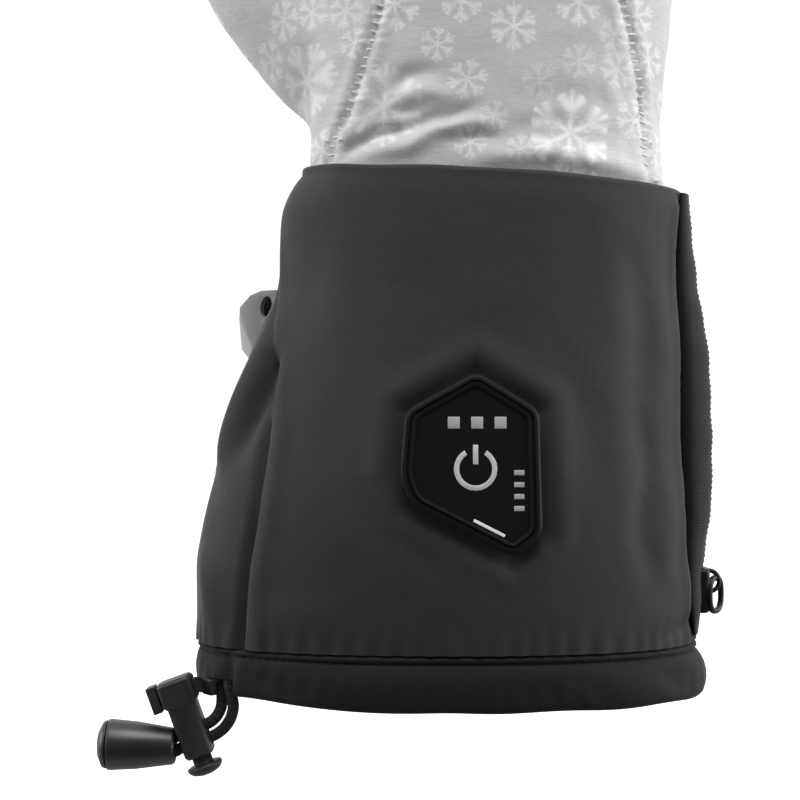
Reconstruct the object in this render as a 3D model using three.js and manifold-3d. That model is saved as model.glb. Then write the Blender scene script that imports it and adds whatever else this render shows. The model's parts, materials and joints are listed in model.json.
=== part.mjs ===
// A heated winter glove for the right hand, worn upright: a padded printed hand shell with five
// fingers, a long softshell cuff with a drawcord hem, a side zip over the battery pocket, a rubber
// control unit on the back of the cuff, and a buckle on a webbing loop at the wrist.
//
// Millimetres. +Z runs from the hem to the fingertips, +X towards the little finger and +Y towards
// the palm. The origin is the centre of the hem's opening, where the hand goes in.

import * as THREE from "three";
import { mergeVertices } from "three/addons/utils/BufferGeometryUtils.js";
import Module from "manifold-3d";

const wasm = await Module();
wasm.setup();

// Driving dimensions

const clearance = 0.3; // between two pieces that meet

const hemWidth = 136; // the cuff's lower edge, thumb side to little-finger side
const hemDepth = 84; // the cuff's lower edge, back to palm side
const cuffHeight = 138;
const cuffWall = 3.2; // softshell with its lining
const cuffTopDrop = 4.5; // the upper edge dips this far at the zip
const cuffProud = 5; // the cuff stands this far off the hand shell, just below its upper edge
const edgeRoll = 6; // and closes onto the hand shell over this height
const sideSeamDepth = 1.6;
const hemBandHeight = 14; // the drawcord channel
const hemBandWall = 3.8;
const hemCornerLift = 3; // the channel is pulled up where the cord comes out
const hemNotchWidth = 9.6; // the gap in the channel that the cords come out of
const hemNotchHeight = 3;

const wristWidth = 96; // of the hand shell, where it leaves the cuff
const wristDepth = 58;
const wristShift = 9.5; // the wrist's centre from the hem's, towards the little finger
const wristTuck = 16; // length of the hand shell inside the cuff
const palmLength = 106; // cuff's upper edge to the finger crotches
const knuckleDepth = 36;
const knuckleShift = 10.4;
const crotchSlope = 0.08; // the crotch line falls towards the little finger
const handWall = 4; // outer cloth, padding and lining
const fingerWidth = 27; // of the middle finger
const fingerDepth = 28.5;
const fingerLength = 90;
const fingerCurl = 17; // how far its tip leans towards the palm
const fingerGap = 0.8;
const thumbWidth = 28;
const thumbReach = 90; // sideways, from the middle of the palm to the axis at the thumb's tip
const thumbRise = 118; // from the cuff's upper edge to the thumb's tip

const controlWidth = 34.4;
const controlHeight = 45;
const controlStand = 3.4; // how far the rim stands off the cuff
const controlRim = 3.1;
const controlCorner = 3.2; // corner radius
const controlRise = 62.3; // centre above the hem
const controlSide = 4.5; // centre from the hem's centre
const windowSize = 3.3;
const windowPitch = 5.8;
const dashLength = 2.8;
const dashHeight = 1.4;
const dashPitch = 2.95;
const markRadius = 5; // the plain power mark: an open ring round a short bar
const markLine = 1.2;
const markGap = 62; // degrees
const lightBarLength = 8.6;
const lightBarHeight = 1.3;
const inletDepth = 0.6; // windows are let into the face this deep

const zipTapeWall = 1.2;
const zipBulge = 5; // how far the tape arches off the cuff
const zipBottomRise = 16; // its lower end above the hem
const zipTopMargin = 3; // its upper end below the cuff's edge
const coilWidth = 3.8;
const coilHeight = 0.9;
const coilPitch = 3.6;
const sliderRise = 27.2; // centre above the hem
const sliderLength = 10.5;
const sliderWidth = 8.2;
const sliderHeight = 2.3;
const bailWidth = 2.0;
const bailWire = 1.1;
const bailOpening = 3.4;
const pullerLength = 11;
const pullerWidth = 8;
const pullerWire = 1.3;

const buckleWidth = 17.5;
const buckleHeight = 20;
const buckleThick = 4;
const buckleBar = 3;
const buckleRise = 99.5; // centre above the hem
const buckleLean = 11; // degrees, its far end leans towards the palm
const webbingWidth = 11;
const webbingThick = 1.3;

const cordDiameter = 3;
const lockRise = -8.8; // where the cords cross the cord lock, from the hem
const lockSide = -66.6;
const lockFront = -22.5;
const lockLean = 20; // degrees, the cord lock's tilt in the front view
const barrelBelow = 5.2; // from the cords' crossing down to the barrel's lower end
const barrelAbove = 8.7; // and up to its head
const barrelWidth = 7.8;
const barrelDepth = 8.8;
const plungerDiameter = 5.2;
const plungerTravel = 2;
const domeDiameter = 9.5;
const domeHeight = 2.8;
const headHeight = 7;
const headWidth = 9.4;
const tetherHeight = 4;
const tetherThick = 1.8;
const stopperWidth = 2.4;
const stopperHeight = 7;
const stopperDepth = 6;
const bellLength = 18.8;
const bellDiameter = 12.2;
const bellMouth = 8.8;
const bellFloor = 14.2; // how deep the cords go into the bell
const bellPlugHeight = 2.6;

const cloth = { print: 0xc6c7c6, charcoal: 0x38393d, black: 0x1c1c1e, webbing: 0x2a2b2d };
const hard = { rubber: 0x17171a, window: 0x9a9b9d, grey: 0xa9aaa6, plastic: 0x222224, metal: 0x26262a };

// Small helpers

const glove = new THREE.Group();
const lerp = THREE.MathUtils.lerp;
const smooth = THREE.MathUtils.smoothstep;
const point = (x, y, z) => new THREE.Vector3(x, y, z);

/** Reads one named column of a table at a share, with straight lines between its rows. */
function readTable(rows, share, column) {
  const last = rows[rows.length - 1];
  if (share <= rows[0].at) return rows[0][column];
  if (share >= last.at) return last[column];
  const i = rows.findIndex((row) => row.at > share);
  const [a, b] = [rows[i - 1], rows[i]];
  return lerp(a[column], b[column], (share - a.at) / (b.at - a.at));
}

/** Skins rings of the same count into one closed surface: joined end to start, or capped at both ends. */
function skin(rings, joined) {
  const around = rings[0].length;
  const vertices = rings.flat().map((p) => p.toArray());
  const faces = [];
  const spans = joined ? rings.length : rings.length - 1;
  for (let r = 0; r < spans; r++) {
    const next = (r + 1) % rings.length;
    for (let k = 0; k < around; k++) {
      const turn = (k + 1) % around;
      const [a, b, c, d] = [r * around + k, r * around + turn, next * around + k, next * around + turn];
      faces.push([a, b, d], [a, d, c]);
    }
  }
  if (!joined) {
    const middle = (ring) => ring.reduce((sum, p) => sum.add(p), point(0, 0, 0)).divideScalar(around);
    const [first, last] = [vertices.length, vertices.length + 1];
    const lastStart = (rings.length - 1) * around;
    vertices.push(middle(rings[0]).toArray(), middle(rings[rings.length - 1]).toArray());
    for (let k = 0; k < around; k++) {
      const turn = (k + 1) % around;
      faces.push([first, turn, k], [last, lastStart + k, lastStart + turn]);
    }
  }
  return toSolid(facingOut(vertices, faces));
}

/** A geometry from vertices and faces, with every face turned round if the shape is inside out. */
function facingOut(vertices, faces) {
  const [a, b, c] = [point(0, 0, 0), point(0, 0, 0), point(0, 0, 0)];
  const six = faces.reduce((sum, [i, j, k]) => {
    a.fromArray(vertices[i]);
    b.fromArray(vertices[j]);
    c.fromArray(vertices[k]);
    return sum + a.dot(b.cross(c));
  }, 0);
  const turned = six < 0 ? faces.map(([i, j, k]) => [i, k, j]) : faces;
  return new THREE.BufferGeometry()
    .setAttribute("position", new THREE.Float32BufferAttribute(vertices.flat(), 3))
    .setIndex(turned.flat());
}

/** A three.js geometry as a solid that can be joined and cut. */
function toSolid(geometry) {
  const bare = new THREE.BufferGeometry().setAttribute("position", geometry.getAttribute("position").clone());
  bare.setIndex(geometry.index ? geometry.index.clone() : null);
  const merged = mergeVertices(bare, 1e-3);
  const corners = merged.index.array;
  const kept = [];
  for (let i = 0; i < corners.length; i += 3) {
    const [a, b, c] = corners.slice(i, i + 3);
    if (a !== b && b !== c && a !== c) kept.push(a, b, c);
  }
  return new wasm.Manifold(
    new wasm.Mesh({
      numProp: 3,
      vertProperties: new Float32Array(merged.attributes.position.array),
      triVerts: new Uint32Array(kept),
    }),
  );
}

/** A solid as a three.js geometry. */
function toGeometry(solid) {
  const mesh = solid.getMesh();
  const positions = new Float32Array(mesh.numVert * 3);
  for (let i = 0; i < mesh.numVert; i++) {
    positions.set(mesh.vertProperties.subarray(i * mesh.numProp, i * mesh.numProp + 3), i * 3);
  }
  const geometry = new THREE.BufferGeometry()
    .setAttribute("position", new THREE.BufferAttribute(positions, 3))
    .setIndex(new THREE.BufferAttribute(new Uint32Array(mesh.triVerts), 1));
  geometry.computeVertexNormals();
  return geometry;
}

/** Adds a named piece to the glove. */
function addPiece(name, solid, color, { roughness = 0.85, metalness = 0 } = {}) {
  const mesh = new THREE.Mesh(
    toGeometry(solid),
    new THREE.MeshStandardMaterial({ color, roughness, metalness, side: THREE.DoubleSide }),
  );
  mesh.name = name;
  glove.add(mesh);
}

/** A box of the given size as a solid, moved and turned by a matrix. */
function block(width, depth, height, matrix = new THREE.Matrix4()) {
  return toSolid(new THREE.BoxGeometry(width, depth, height).applyMatrix4(matrix));
}

/** A round solid about the matrix's Z axis, through [height, radius] pairs from its foot to its top. */
function turned(profile, matrix, around = 16) {
  const rings = profile.map(([height, radius]) =>
    Array.from({ length: around }, (_, k) => {
      const angle = (2 * Math.PI * k) / around;
      return point(radius * Math.cos(angle), radius * Math.sin(angle), height).applyMatrix4(matrix);
    }),
  );
  return skin(rings, false);
}

/** A straight solid along the matrix's Z axis with rounded-square sections, from rows of its sizes. */
function squared(rows, matrix, square = 4.5, around = 16) {
  const rings = rows.map(({ height, width, depth }) => {
    const extents = { left: -width / 2, right: width / 2, front: -depth / 2, back: depth / 2, square };
    return Array.from({ length: around }, (_, k) => {
      const { x, y } = ovalPoint(extents, (2 * Math.PI * (k + 0.5)) / around);
      return point(x, y, height).applyMatrix4(matrix);
    });
  });
  return skin(rings, false);
}

/** A round cord through a list of points, square to it at both ends. */
function swept(points, diameter, around = 8) {
  const rings = points.map((p, i) => {
    const ahead = points[Math.min(i + 1, points.length - 1)];
    const behind = points[Math.max(i - 1, 0)];
    const along = ahead.clone().sub(behind).normalize();
    const side = point(0, 1, 0).addScaledVector(along, -along.y).normalize();
    const third = along.clone().cross(side);
    return Array.from({ length: around }, (_, k) => {
      const angle = (2 * Math.PI * k) / around;
      return p
        .clone()
        .addScaledVector(side, (diameter / 2) * Math.cos(angle))
        .addScaledVector(third, (diameter / 2) * Math.sin(angle));
    });
  });
  return skin(rings, false);
}

/** Moves every point of a level ring along the ring's own outward normal. */
function offsetRing(ring, distance) {
  const count = ring.length;
  return ring.map((p, k) => {
    const along = ring[(k + 1) % count].clone().sub(ring[(k + count - 1) % count]);
    const out = point(along.y, -along.x, 0).normalize();
    return p.clone().addScaledVector(out, distance);
  });
}

/** A point on a rounded oval between the given extents; the angle starts at the little-finger side. */
function ovalPoint({ left, right, front, back, square }, angle) {
  const power = 2 / square;
  const [c, s] = [Math.cos(angle), Math.sin(angle)];
  return {
    x: (left + right) / 2 + ((right - left) / 2) * Math.sign(c) * Math.abs(c) ** power,
    y: (front + back) / 2 + ((back - front) / 2) * Math.sign(s) * Math.abs(s) ** power,
  };
}

// The cuff's outer surface

// Extents go from 0, as at the hem, to 1, as at the upper edge. seam is the angle by which the
// thumb-side seam stands round to the front.
const cuffRows = [
  { at: 0.0, left: 0.0, right: 0.0, depth: 0.0, seam: 0.7 },
  { at: 0.09, left: 0.01, right: 0.4, depth: 0.04, seam: 0.7 },
  { at: 0.25, left: 0.0, right: 0.66, depth: 0.14, seam: 0.76 },
  { at: 0.34, left: 0.08, right: 0.72, depth: 0.24, seam: 0.78 },
  { at: 0.42, left: 0.19, right: 0.84, depth: 0.36, seam: 0.77 },
  { at: 0.51, left: 0.34, right: 0.98, depth: 0.52, seam: 0.73 },
  { at: 0.6, left: 0.49, right: 1.02, depth: 0.7, seam: 0.64 },
  { at: 0.68, left: 0.65, right: 1.06, depth: 0.84, seam: 0.5 },
  { at: 0.77, left: 0.88, right: 1.24, depth: 0.92, seam: 0.2 },
  { at: 0.88, left: 0.95, right: 1.16, depth: 0.96, seam: 0.04 },
  { at: 0.965, left: 1.02, right: 1.04, depth: 1.0, seam: 0.0 },
  { at: 1.0, left: 1.12, right: 1.12, depth: 1.16, seam: 0.0 },
];
const cuffSquare = 2.35;
const cuffAround = 44;

const cuffTop = {
  left: wristShift - wristWidth / 2 - cuffProud,
  right: wristShift + wristWidth / 2 + cuffProud,
  depth: wristDepth / 2 + cuffProud,
};

/** The cuff's extents at a height above the hem. */
function cuffExtents(z) {
  const share = z / cuffHeight;
  const depth = lerp(hemDepth / 2, cuffTop.depth, readTable(cuffRows, share, "depth"));
  return {
    left: lerp(-hemWidth / 2, cuffTop.left, readTable(cuffRows, share, "left")),
    right: lerp(hemWidth / 2, cuffTop.right, readTable(cuffRows, share, "right")),
    front: -depth,
    back: depth,
    square: cuffSquare,
  };
}

/** A ring round the cuff that starts on the thumb-side seam, where it is sunk by the seam's depth. */
function cuffRing(z, offset = 0, seamDepth = sideSeamDepth) {
  const extents = cuffExtents(z);
  const start = Math.PI + readTable(cuffRows, z / cuffHeight, "seam");
  const ring = Array.from({ length: cuffAround }, (_, k) => {
    const { x, y } = ovalPoint(extents, start + (2 * Math.PI * k) / cuffAround);
    return point(x, y, z);
  });
  const moved = offsetRing(ring, offset);
  const inward = offsetRing(ring, offset - seamDepth)[0];
  moved[0].copy(inward);
  return moved;
}

/** A ring round the wrist of the hand shell, with its points at the angles of the cuff's upper edge. */
function wristRing(z, offset) {
  const extents = {
    left: wristShift - wristWidth / 2,
    right: wristShift + wristWidth / 2,
    front: -wristDepth / 2,
    back: wristDepth / 2,
    square: palmRows[0].square,
  };
  const ring = Array.from({ length: cuffAround }, (_, k) => {
    const { x, y } = ovalPoint(extents, Math.PI + (2 * Math.PI * k) / cuffAround);
    return point(x, y, z);
  });
  return offsetRing(ring, offset);
}

/** How far the cuff's upper edge dips at the zip, for a point of that edge. */
function topDip(p) {
  const span = cuffTop.right - wristShift;
  return cuffTopDrop * smooth((p.x - wristShift) / span, 0.6, 1.0);
}

/** A point on the cuff at an angle and height, with the level outward normal and the tangent there. */
function cuffFrame(angle, z) {
  const step = 0.01;
  const extents = cuffExtents(z);
  const here = ovalPoint(extents, angle);
  const ahead = ovalPoint(extents, angle + step);
  const behind = ovalPoint(extents, angle - step);
  const tangent = point(ahead.x - behind.x, ahead.y - behind.y, 0).normalize();
  return { at: point(here.x, here.y, z), tangent, out: point(tangent.y, -tangent.x, 0) };
}

const cuffLevels = cuffRows.map((row) => row.at * cuffHeight).filter((z) => z > hemBandHeight + clearance);
const cuffStart = hemBandHeight + clearance;

/** The cuff's filled outer form, grown by an offset, for cutting what sits on it. */
function cuffBlank(offset) {
  const levels = [-20, cuffStart, ...cuffLevels];
  return skin(levels.map((z) => cuffRing(Math.max(z, 0), offset, 0).map((p) => p.setZ(z))), false);
}

function buildCuff() {
  const outerLevels = [cuffStart, ...cuffLevels];
  const outer = outerLevels.map((z) => cuffRing(z));
  const innerLevels = [cuffStart, ...cuffLevels.filter((z) => z < cuffHeight - edgeRoll), cuffHeight - edgeRoll];
  const inner = innerLevels.map((z) => cuffRing(z, -cuffWall, 0));
  inner.push(wristRing(cuffHeight - edgeRoll / 3, clearance), wristRing(cuffHeight, clearance));
  for (const edge of [outer[outer.length - 1], inner[inner.length - 1]]) {
    edge.forEach((p) => p.setZ(p.z - topDip(p)));
  }
  addPiece("cuff_shell", skin([...outer, ...inner.reverse()], true), cloth.charcoal);
}

const cordAngle = Math.PI + 0.53; // round the hem, where the cords come out

/** The hem's drawcord channel: a folded band under the cuff, rounded at its lower fold. */
function buildHemBand() {
  const rows = [
    { at: 0.0, inset: 0.36 },
    { at: 0.12, inset: 0.05 },
    { at: 0.5, inset: -0.08 },
    { at: 1.0, inset: 0.12 },
  ];
  const exit = cuffFrame(cordAngle, 0).at;
  const lift = (p) => {
    const near = 1 - smooth(Math.hypot(p.x - exit.x, p.y - exit.y) / hemDepth, 0.08, 0.75);
    return hemCornerLift * near * (1 - p.z / hemBandHeight);
  };
  const ringAt = (row, inward) =>
    cuffRing(row.at * hemBandHeight, inward ? (row.inset - 1) * hemBandWall : -row.inset * hemBandWall, 0);
  const outer = rows.map((row) => ringAt(row, false));
  const inner = rows.map((row) => ringAt(row, true));
  const rings = [...outer, ...inner.reverse()];
  rings.flat().forEach((p) => p.setZ(p.z + lift(p)));
  const top = hemCornerLift + hemNotchHeight;
  const { out, tangent } = cuffFrame(cordAngle, 0);
  const place = new THREE.Matrix4().makeBasis(out, tangent, point(0, 0, 1)).setPosition(exit);
  const notch = block(4 * hemBandWall, hemNotchWidth, 2 * top, place);
  addPiece("hem_band", skin(rings, true).subtract(notch), cloth.black);
  return top;
}

// The hand shell: palm, four fingers and thumb, made as one hollow form and parted at their seams

// Width, depth and length are shares of the middle finger's, lean is degrees
const fingerShares = [
  { name: "finger_index", width: 1.0, depth: 1.0, length: 0.889, lean: -4 },
  { name: "finger_middle", width: 1.0, depth: 1.0, length: 1.0, lean: -0.5 },
  { name: "finger_ring", width: 0.963, depth: 0.965, length: 0.933, lean: 3 },
  { name: "finger_little", width: 0.889, depth: 0.895, length: 0.733, lean: 8 },
];
const fingers = fingerShares.map((share) => ({
  name: share.name,
  width: share.width * fingerWidth,
  depth: share.depth * fingerDepth,
  length: share.length * fingerLength,
  lean: share.lean,
}));
const fingerAround = 14;
const knuckleWidth = fingers.reduce((sum, f) => sum + f.width, fingerGap * (fingers.length - 1));
const crotchHeight = cuffHeight + palmLength;

const palmRows = [
  { at: 0.0, width: 0.0, shift: 0.0, depth: 0.0, square: 2.3 },
  { at: 0.17, width: 0.17, shift: -0.4, depth: 0.09, square: 2.4 },
  { at: 0.45, width: 0.6, shift: 0.2, depth: 0.27, square: 2.6 },
  { at: 0.75, width: 1.0, shift: 1.05, depth: 0.6, square: 2.9 },
  { at: 1.0, width: 1.0, shift: 1.0, depth: 1.0, square: 3.2 },
];
const palmAround = 30;

// Shares of the finger's own sizes, from just inside the palm to its tip
const fingerRows = [
  { at: -0.15, width: 1.0, depth: 1.0, curl: 0.0 },
  { at: 0.03, width: 1.0, depth: 1.0, curl: 0.0 },
  { at: 0.3, width: 0.98, depth: 0.97, curl: 0.09 },
  { at: 0.55, width: 0.94, depth: 0.92, curl: 0.3 },
  { at: 0.78, width: 0.88, depth: 0.84, curl: 0.62 },
  { at: 0.9, width: 0.74, depth: 0.7, curl: 0.82 },
  { at: 0.965, width: 0.5, depth: 0.47, curl: 0.94 },
  { at: 1.0, width: 0.18, depth: 0.16, curl: 1.0 },
];

// side is a share of thumbReach, rise of thumbRise, forward of wristDepth, width and depth of thumbWidth
const thumbRows = [
  { side: -0.18, rise: 0.1, forward: 0.06, width: 0.76, depth: 0.74 },
  { side: -0.44, rise: 0.33, forward: 0.11, width: 0.95, depth: 0.76 },
  { side: -0.68, rise: 0.48, forward: 0.17, width: 0.7, depth: 0.66 },
  { side: -0.81, rise: 0.605, forward: 0.2, width: 0.56, depth: 0.55 },
  { side: -0.915, rise: 0.8, forward: 0.23, width: 0.49, depth: 0.49 },
  { side: -0.965, rise: 0.92, forward: 0.245, width: 0.4, depth: 0.4 },
  { side: -0.985, rise: 0.975, forward: 0.25, width: 0.25, depth: 0.25 },
  { side: -0.995, rise: 1.0, forward: 0.25, width: 0.08, depth: 0.08 },
];
const thumbAround = 16;
const thumbPart = 3; // the row of thumbRows at which the thumb is sewn on

/** Rings up the palm; the inner ones are moved in by the wall and stop that far below the crotches. */
function palmRings(wall) {
  const levels = palmRows.map((row) => ({ share: row.at, z: cuffHeight + row.at * palmLength }));
  levels.unshift({ share: 0, z: cuffHeight - wristTuck - (wall ? clearance : 0) });
  return levels.map(({ share, z }) => {
    const width = lerp(wristWidth, knuckleWidth, readTable(palmRows, share, "width"));
    const depth = lerp(wristDepth, knuckleDepth, readTable(palmRows, share, "depth"));
    const middle = lerp(wristShift, knuckleShift, readTable(palmRows, share, "shift"));
    const square = readTable(palmRows, share, "square");
    const extents = { left: middle - width / 2, right: middle + width / 2, front: -depth / 2, back: depth / 2, square };
    const ring = Array.from({ length: palmAround }, (_, k) => {
      const { x, y } = ovalPoint(extents, (2 * Math.PI * k) / palmAround);
      const fall = crotchSlope * (x - knuckleShift) * share ** 2;
      return point(x, y, z - fall - (share === 1 ? wall : 0));
    });
    return offsetRing(ring, -wall);
  });
}

/** Rings along a finger, leaning sideways and curling towards the palm. */
function fingerRings(finger, middle, wall) {
  const base = crotchHeight - crotchSlope * (middle - knuckleShift);
  const curl = (fingerCurl * finger.length) / fingerLength;
  const lean = THREE.MathUtils.degToRad(finger.lean);
  return fingerRows.map((row) => {
    const up = row.at * finger.length - (row.at > 0.5 ? wall * row.at ** 4 : 0);
    const halfWidth = Math.max((row.width * finger.width) / 2 - wall, 1);
    const halfDepth = Math.max((row.depth * finger.depth) / 2 - wall, 1);
    const centre = point(middle + Math.sin(lean) * Math.max(up, 0), row.curl * curl, base + up * Math.cos(lean));
    return Array.from({ length: fingerAround }, (_, k) => {
      const { x, y } = ovalPoint(
        { left: -halfWidth, right: halfWidth, front: -halfDepth, back: halfDepth, square: 2.4 },
        (2 * Math.PI * k) / fingerAround,
      );
      const tilt = row.curl * 0.35;
      return centre.clone().add(point(x, y, -x * Math.sin(lean) - y * tilt));
    });
  });
}

/** The thumb's axis point for a row of its table. */
function thumbCentre(row) {
  return point(knuckleShift + row.side * thumbReach, row.forward * wristDepth, cuffHeight + row.rise * thumbRise);
}

/** Rings along the thumb, square to its axis. */
function thumbRings(wall) {
  const centres = thumbRows.map(thumbCentre);
  return thumbRows.map((row, i) => {
    const ahead = centres[Math.min(i + 1, centres.length - 1)];
    const behind = centres[Math.max(i - 1, 0)];
    const axis = ahead.clone().sub(behind).normalize();
    const across = point(axis.z, 0, -axis.x).normalize();
    const deep = axis.clone().cross(across).normalize();
    const halfWidth = Math.max(row.width * thumbWidth - wall, 1);
    const halfDepth = Math.max(row.depth * thumbWidth - wall, 1);
    const nearTip = smooth(i / (thumbRows.length - 1), 0.6, 1);
    return Array.from({ length: thumbAround }, (_, k) => {
      const angle = (2 * Math.PI * k) / thumbAround;
      return centres[i]
        .clone()
        .addScaledVector(axis, -wall * nearTip)
        .addScaledVector(across, halfWidth * Math.cos(angle))
        .addScaledVector(deep, halfDepth * Math.sin(angle));
    });
  });
}

function buildHand() {
  let edge = knuckleShift - knuckleWidth / 2;
  const placed = fingers.map((finger) => {
    const middle = edge + finger.width / 2;
    edge += finger.width + fingerGap;
    const [outer, inner] = [skin(fingerRings(finger, middle, 0), false), skin(fingerRings(finger, middle, handWall), false)];
    return { ...finger, outer, inner };
  });
  const thumbOuter = skin(thumbRings(0), false);
  const hollow = placed.reduce(
    (all, finger) => all.add(finger.inner),
    skin(palmRings(handWall), false).add(skin(thumbRings(handWall), false)),
  );

  // Fingers are parted just above the crotches
  const above = (gap) => {
    const high = 200;
    const stub = 1;
    const turn = new THREE.Matrix4().makeRotationY(Math.atan(crotchSlope));
    const place = new THREE.Matrix4().makeTranslation(knuckleShift, 0, crotchHeight + stub + gap);
    return block(2 * high, high, high, place.multiply(turn).multiply(new THREE.Matrix4().makeTranslation(0, 0, high / 2)));
  };

  // The thumb is parted across its base
  const base = thumbCentre(thumbRows[thumbPart]);
  const tip = thumbCentre(thumbRows[thumbRows.length - 1]);
  const thumbBox = (gap) => {
    const margin = 3;
    const across = 2 * (thumbRows[thumbPart].width * thumbWidth + margin);
    const long = 1.4 * base.distanceTo(tip);
    const lean = Math.atan2(base.x - tip.x, tip.z - base.z);
    const turn = new THREE.Matrix4().makeRotationY(-lean);
    const place = new THREE.Matrix4().makeTranslation(base.x, base.y, base.z);
    const push = new THREE.Matrix4().makeTranslation(0, 0, long / 2 + gap);
    return block(across - 2 * gap, 2 * across, long, place.multiply(turn).multiply(push));
  };

  const palm = placed
    .reduce((all, finger) => all.add(finger.outer), skin(palmRings(0), false).add(thumbOuter))
    .subtract(above(0))
    .subtract(thumbBox(0))
    .subtract(hollow);
  addPiece("hand_palm", palm, cloth.print);
  for (const finger of placed) {
    addPiece(finger.name, finger.outer.intersect(above(clearance)).subtract(hollow), cloth.print);
  }
  addPiece("thumb", thumbOuter.intersect(thumbBox(clearance)).subtract(hollow), cloth.print);
}

// The control unit on the back of the cuff

// Corners as shares of the half width and half height, from the top clockwise
const controlCorners = [
  { x: 0.08, z: 1.0 },
  { x: 0.96, z: 0.58 },
  { x: 1.0, z: -0.76 },
  { x: 0.6, z: -1.0 },
  { x: -0.84, z: -0.44 },
  { x: -1.0, z: -0.14 },
  { x: -0.92, z: 0.57 },
];

/** The unit's outline with rounded corners, moved in by inset, standing off its centre plane by stand. */
function controlRing(inset, stand) {
  const corners = controlCorners.map(({ x, z }) => new THREE.Vector2((x * controlWidth) / 2, (z * controlHeight) / 2));
  const radius = controlCorner;
  const outline = corners.flatMap((corner, k) => {
    const before = corners[(k + corners.length - 1) % corners.length].clone().sub(corner).setLength(radius);
    const after = corners[(k + 1) % corners.length].clone().sub(corner).setLength(radius);
    const curve = new THREE.QuadraticBezierCurve(corner.clone().add(before), corner, corner.clone().add(after));
    return curve.getPoints(2);
  });
  const level = outline.map((p) => point(p.x, p.y, 0)).reverse();
  return offsetRing(level, -inset).map((p) => point(p.x, -stand, p.y));
}

function buildControl() {
  const tilt = Math.atan((hemDepth / 2 - cuffTop.depth) / cuffHeight);
  const front = cuffExtents(controlRise).front;
  const place = new THREE.Matrix4()
    .makeTranslation(controlSide, front, controlRise)
    .multiply(new THREE.Matrix4().makeRotationX(-tilt));
  const moved = (rings) => skin(rings.map((ring) => ring.map((p) => p.applyMatrix4(place))), false);
  const buried = -8; // cut back to the cuff afterwards
  const floor = controlStand - 1.8;
  const bevel = 1.1;
  const frame = moved([
    controlRing(0, buried),
    controlRing(0, controlStand - bevel),
    controlRing(bevel, controlStand),
    controlRing(controlRim, controlStand),
    controlRing(controlRim + 0.3, floor),
  ]).subtract(cuffBlank(clearance));

  const faceTop = controlStand - 0.4;
  let face = moved([
    controlRing(controlRim + 0.3 + clearance, floor + clearance),
    controlRing(controlRim + clearance, faceTop - 0.3),
    controlRing(controlRim + clearance + 0.4, faceTop),
  ]);

  // A window let into a surface: its own block, and the pocket that takes it
  const around = clearance / 2;
  const letIn = ({ name, x, z, wide, high, turn = 0, top }) => {
    const thick = inletDepth - around;
    const sit = (depth) =>
      place
        .clone()
        .multiply(new THREE.Matrix4().makeTranslation(x, -top + depth, z))
        .multiply(new THREE.Matrix4().makeRotationY(turn));
    addPiece(name, block(wide, thick, high, sit(thick / 2)), hard.window, { roughness: 0.4 });
    return block(wide + 2 * around, 2 * inletDepth, high + 2 * around, sit(0));
  };
  for (let k = 0; k < 3; k++) {
    const x = controlWidth * 0.033 + (k - 1) * windowPitch;
    const pocket = { name: `led_window_${k + 1}`, x, z: controlHeight * 0.234, wide: windowSize, high: windowSize };
    face = face.subtract(letIn({ ...pocket, top: faceTop }));
  }
  for (let k = 0; k < 4; k++) {
    const z = -controlHeight * 0.052 - k * dashPitch;
    const pocket = { name: `charge_dash_${k + 1}`, x: controlWidth * 0.346, z, wide: dashLength, high: dashHeight };
    face = face.subtract(letIn({ ...pocket, top: faceTop }));
  }
  // The power mark: an open ring with an upright bar in its gap
  const openRing = (grow) => {
    const start = Math.PI / 2 + (markGap / 2) * (Math.PI / 180) - grow / markRadius;
    const end = Math.PI / 2 - (markGap / 2) * (Math.PI / 180) + grow / markRadius + 2 * Math.PI;
    const shape = new THREE.Shape();
    shape.absarc(0, 0, markRadius + grow, start, end, false);
    shape.absarc(0, 0, markRadius - markLine - grow, end, start, true);
    return shape;
  };
  const markAt = point(controlWidth * 0.03, 0, -controlHeight * 0.04);
  const markSolid = (shape, low, high) => {
    const geometry = new THREE.ExtrudeGeometry(shape, { depth: high - low, bevelEnabled: false, curveSegments: 10 });
    geometry.rotateX(Math.PI / 2).translate(markAt.x, -faceTop + high, markAt.z).applyMatrix4(place);
    return toSolid(geometry);
  };
  addPiece("power_ring", markSolid(openRing(0), 0, inletDepth - around), hard.window, { roughness: 0.4 });
  face = face.subtract(markSolid(openRing(around), -1, inletDepth));
  const barPocket = { name: "power_bar", x: markAt.x, z: markAt.z + 0.72 * markRadius, wide: markLine };
  face = face.subtract(letIn({ ...barPocket, high: 0.9 * markRadius, top: faceTop }));
  addPiece("control_face", face, hard.rubber, { roughness: 0.7 });

  // The light bar lies in the rim, along the lower edge
  const corner = (k) => new THREE.Vector2((controlCorners[k].x * controlWidth) / 2, (controlCorners[k].z * controlHeight) / 2);
  const [lowCorner, sideCorner] = [corner(3), corner(4)];
  const along = lowCorner.clone().sub(sideCorner).normalize();
  const inward = new THREE.Vector2(-along.y, along.x);
  const barMiddle = sideCorner.clone().lerp(lowCorner, 0.64).addScaledVector(inward, (controlRim + bevel) / 2);
  const lightPocket = letIn({
    name: "light_bar",
    x: barMiddle.x,
    z: barMiddle.y,
    wide: lightBarLength,
    high: lightBarHeight,
    turn: Math.atan2(-along.y, along.x),
    top: controlStand,
  });
  addPiece("control_frame", frame.subtract(lightPocket), hard.rubber, { roughness: 0.5 });
}

// The zip over the battery pocket, on the little-finger side

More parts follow.
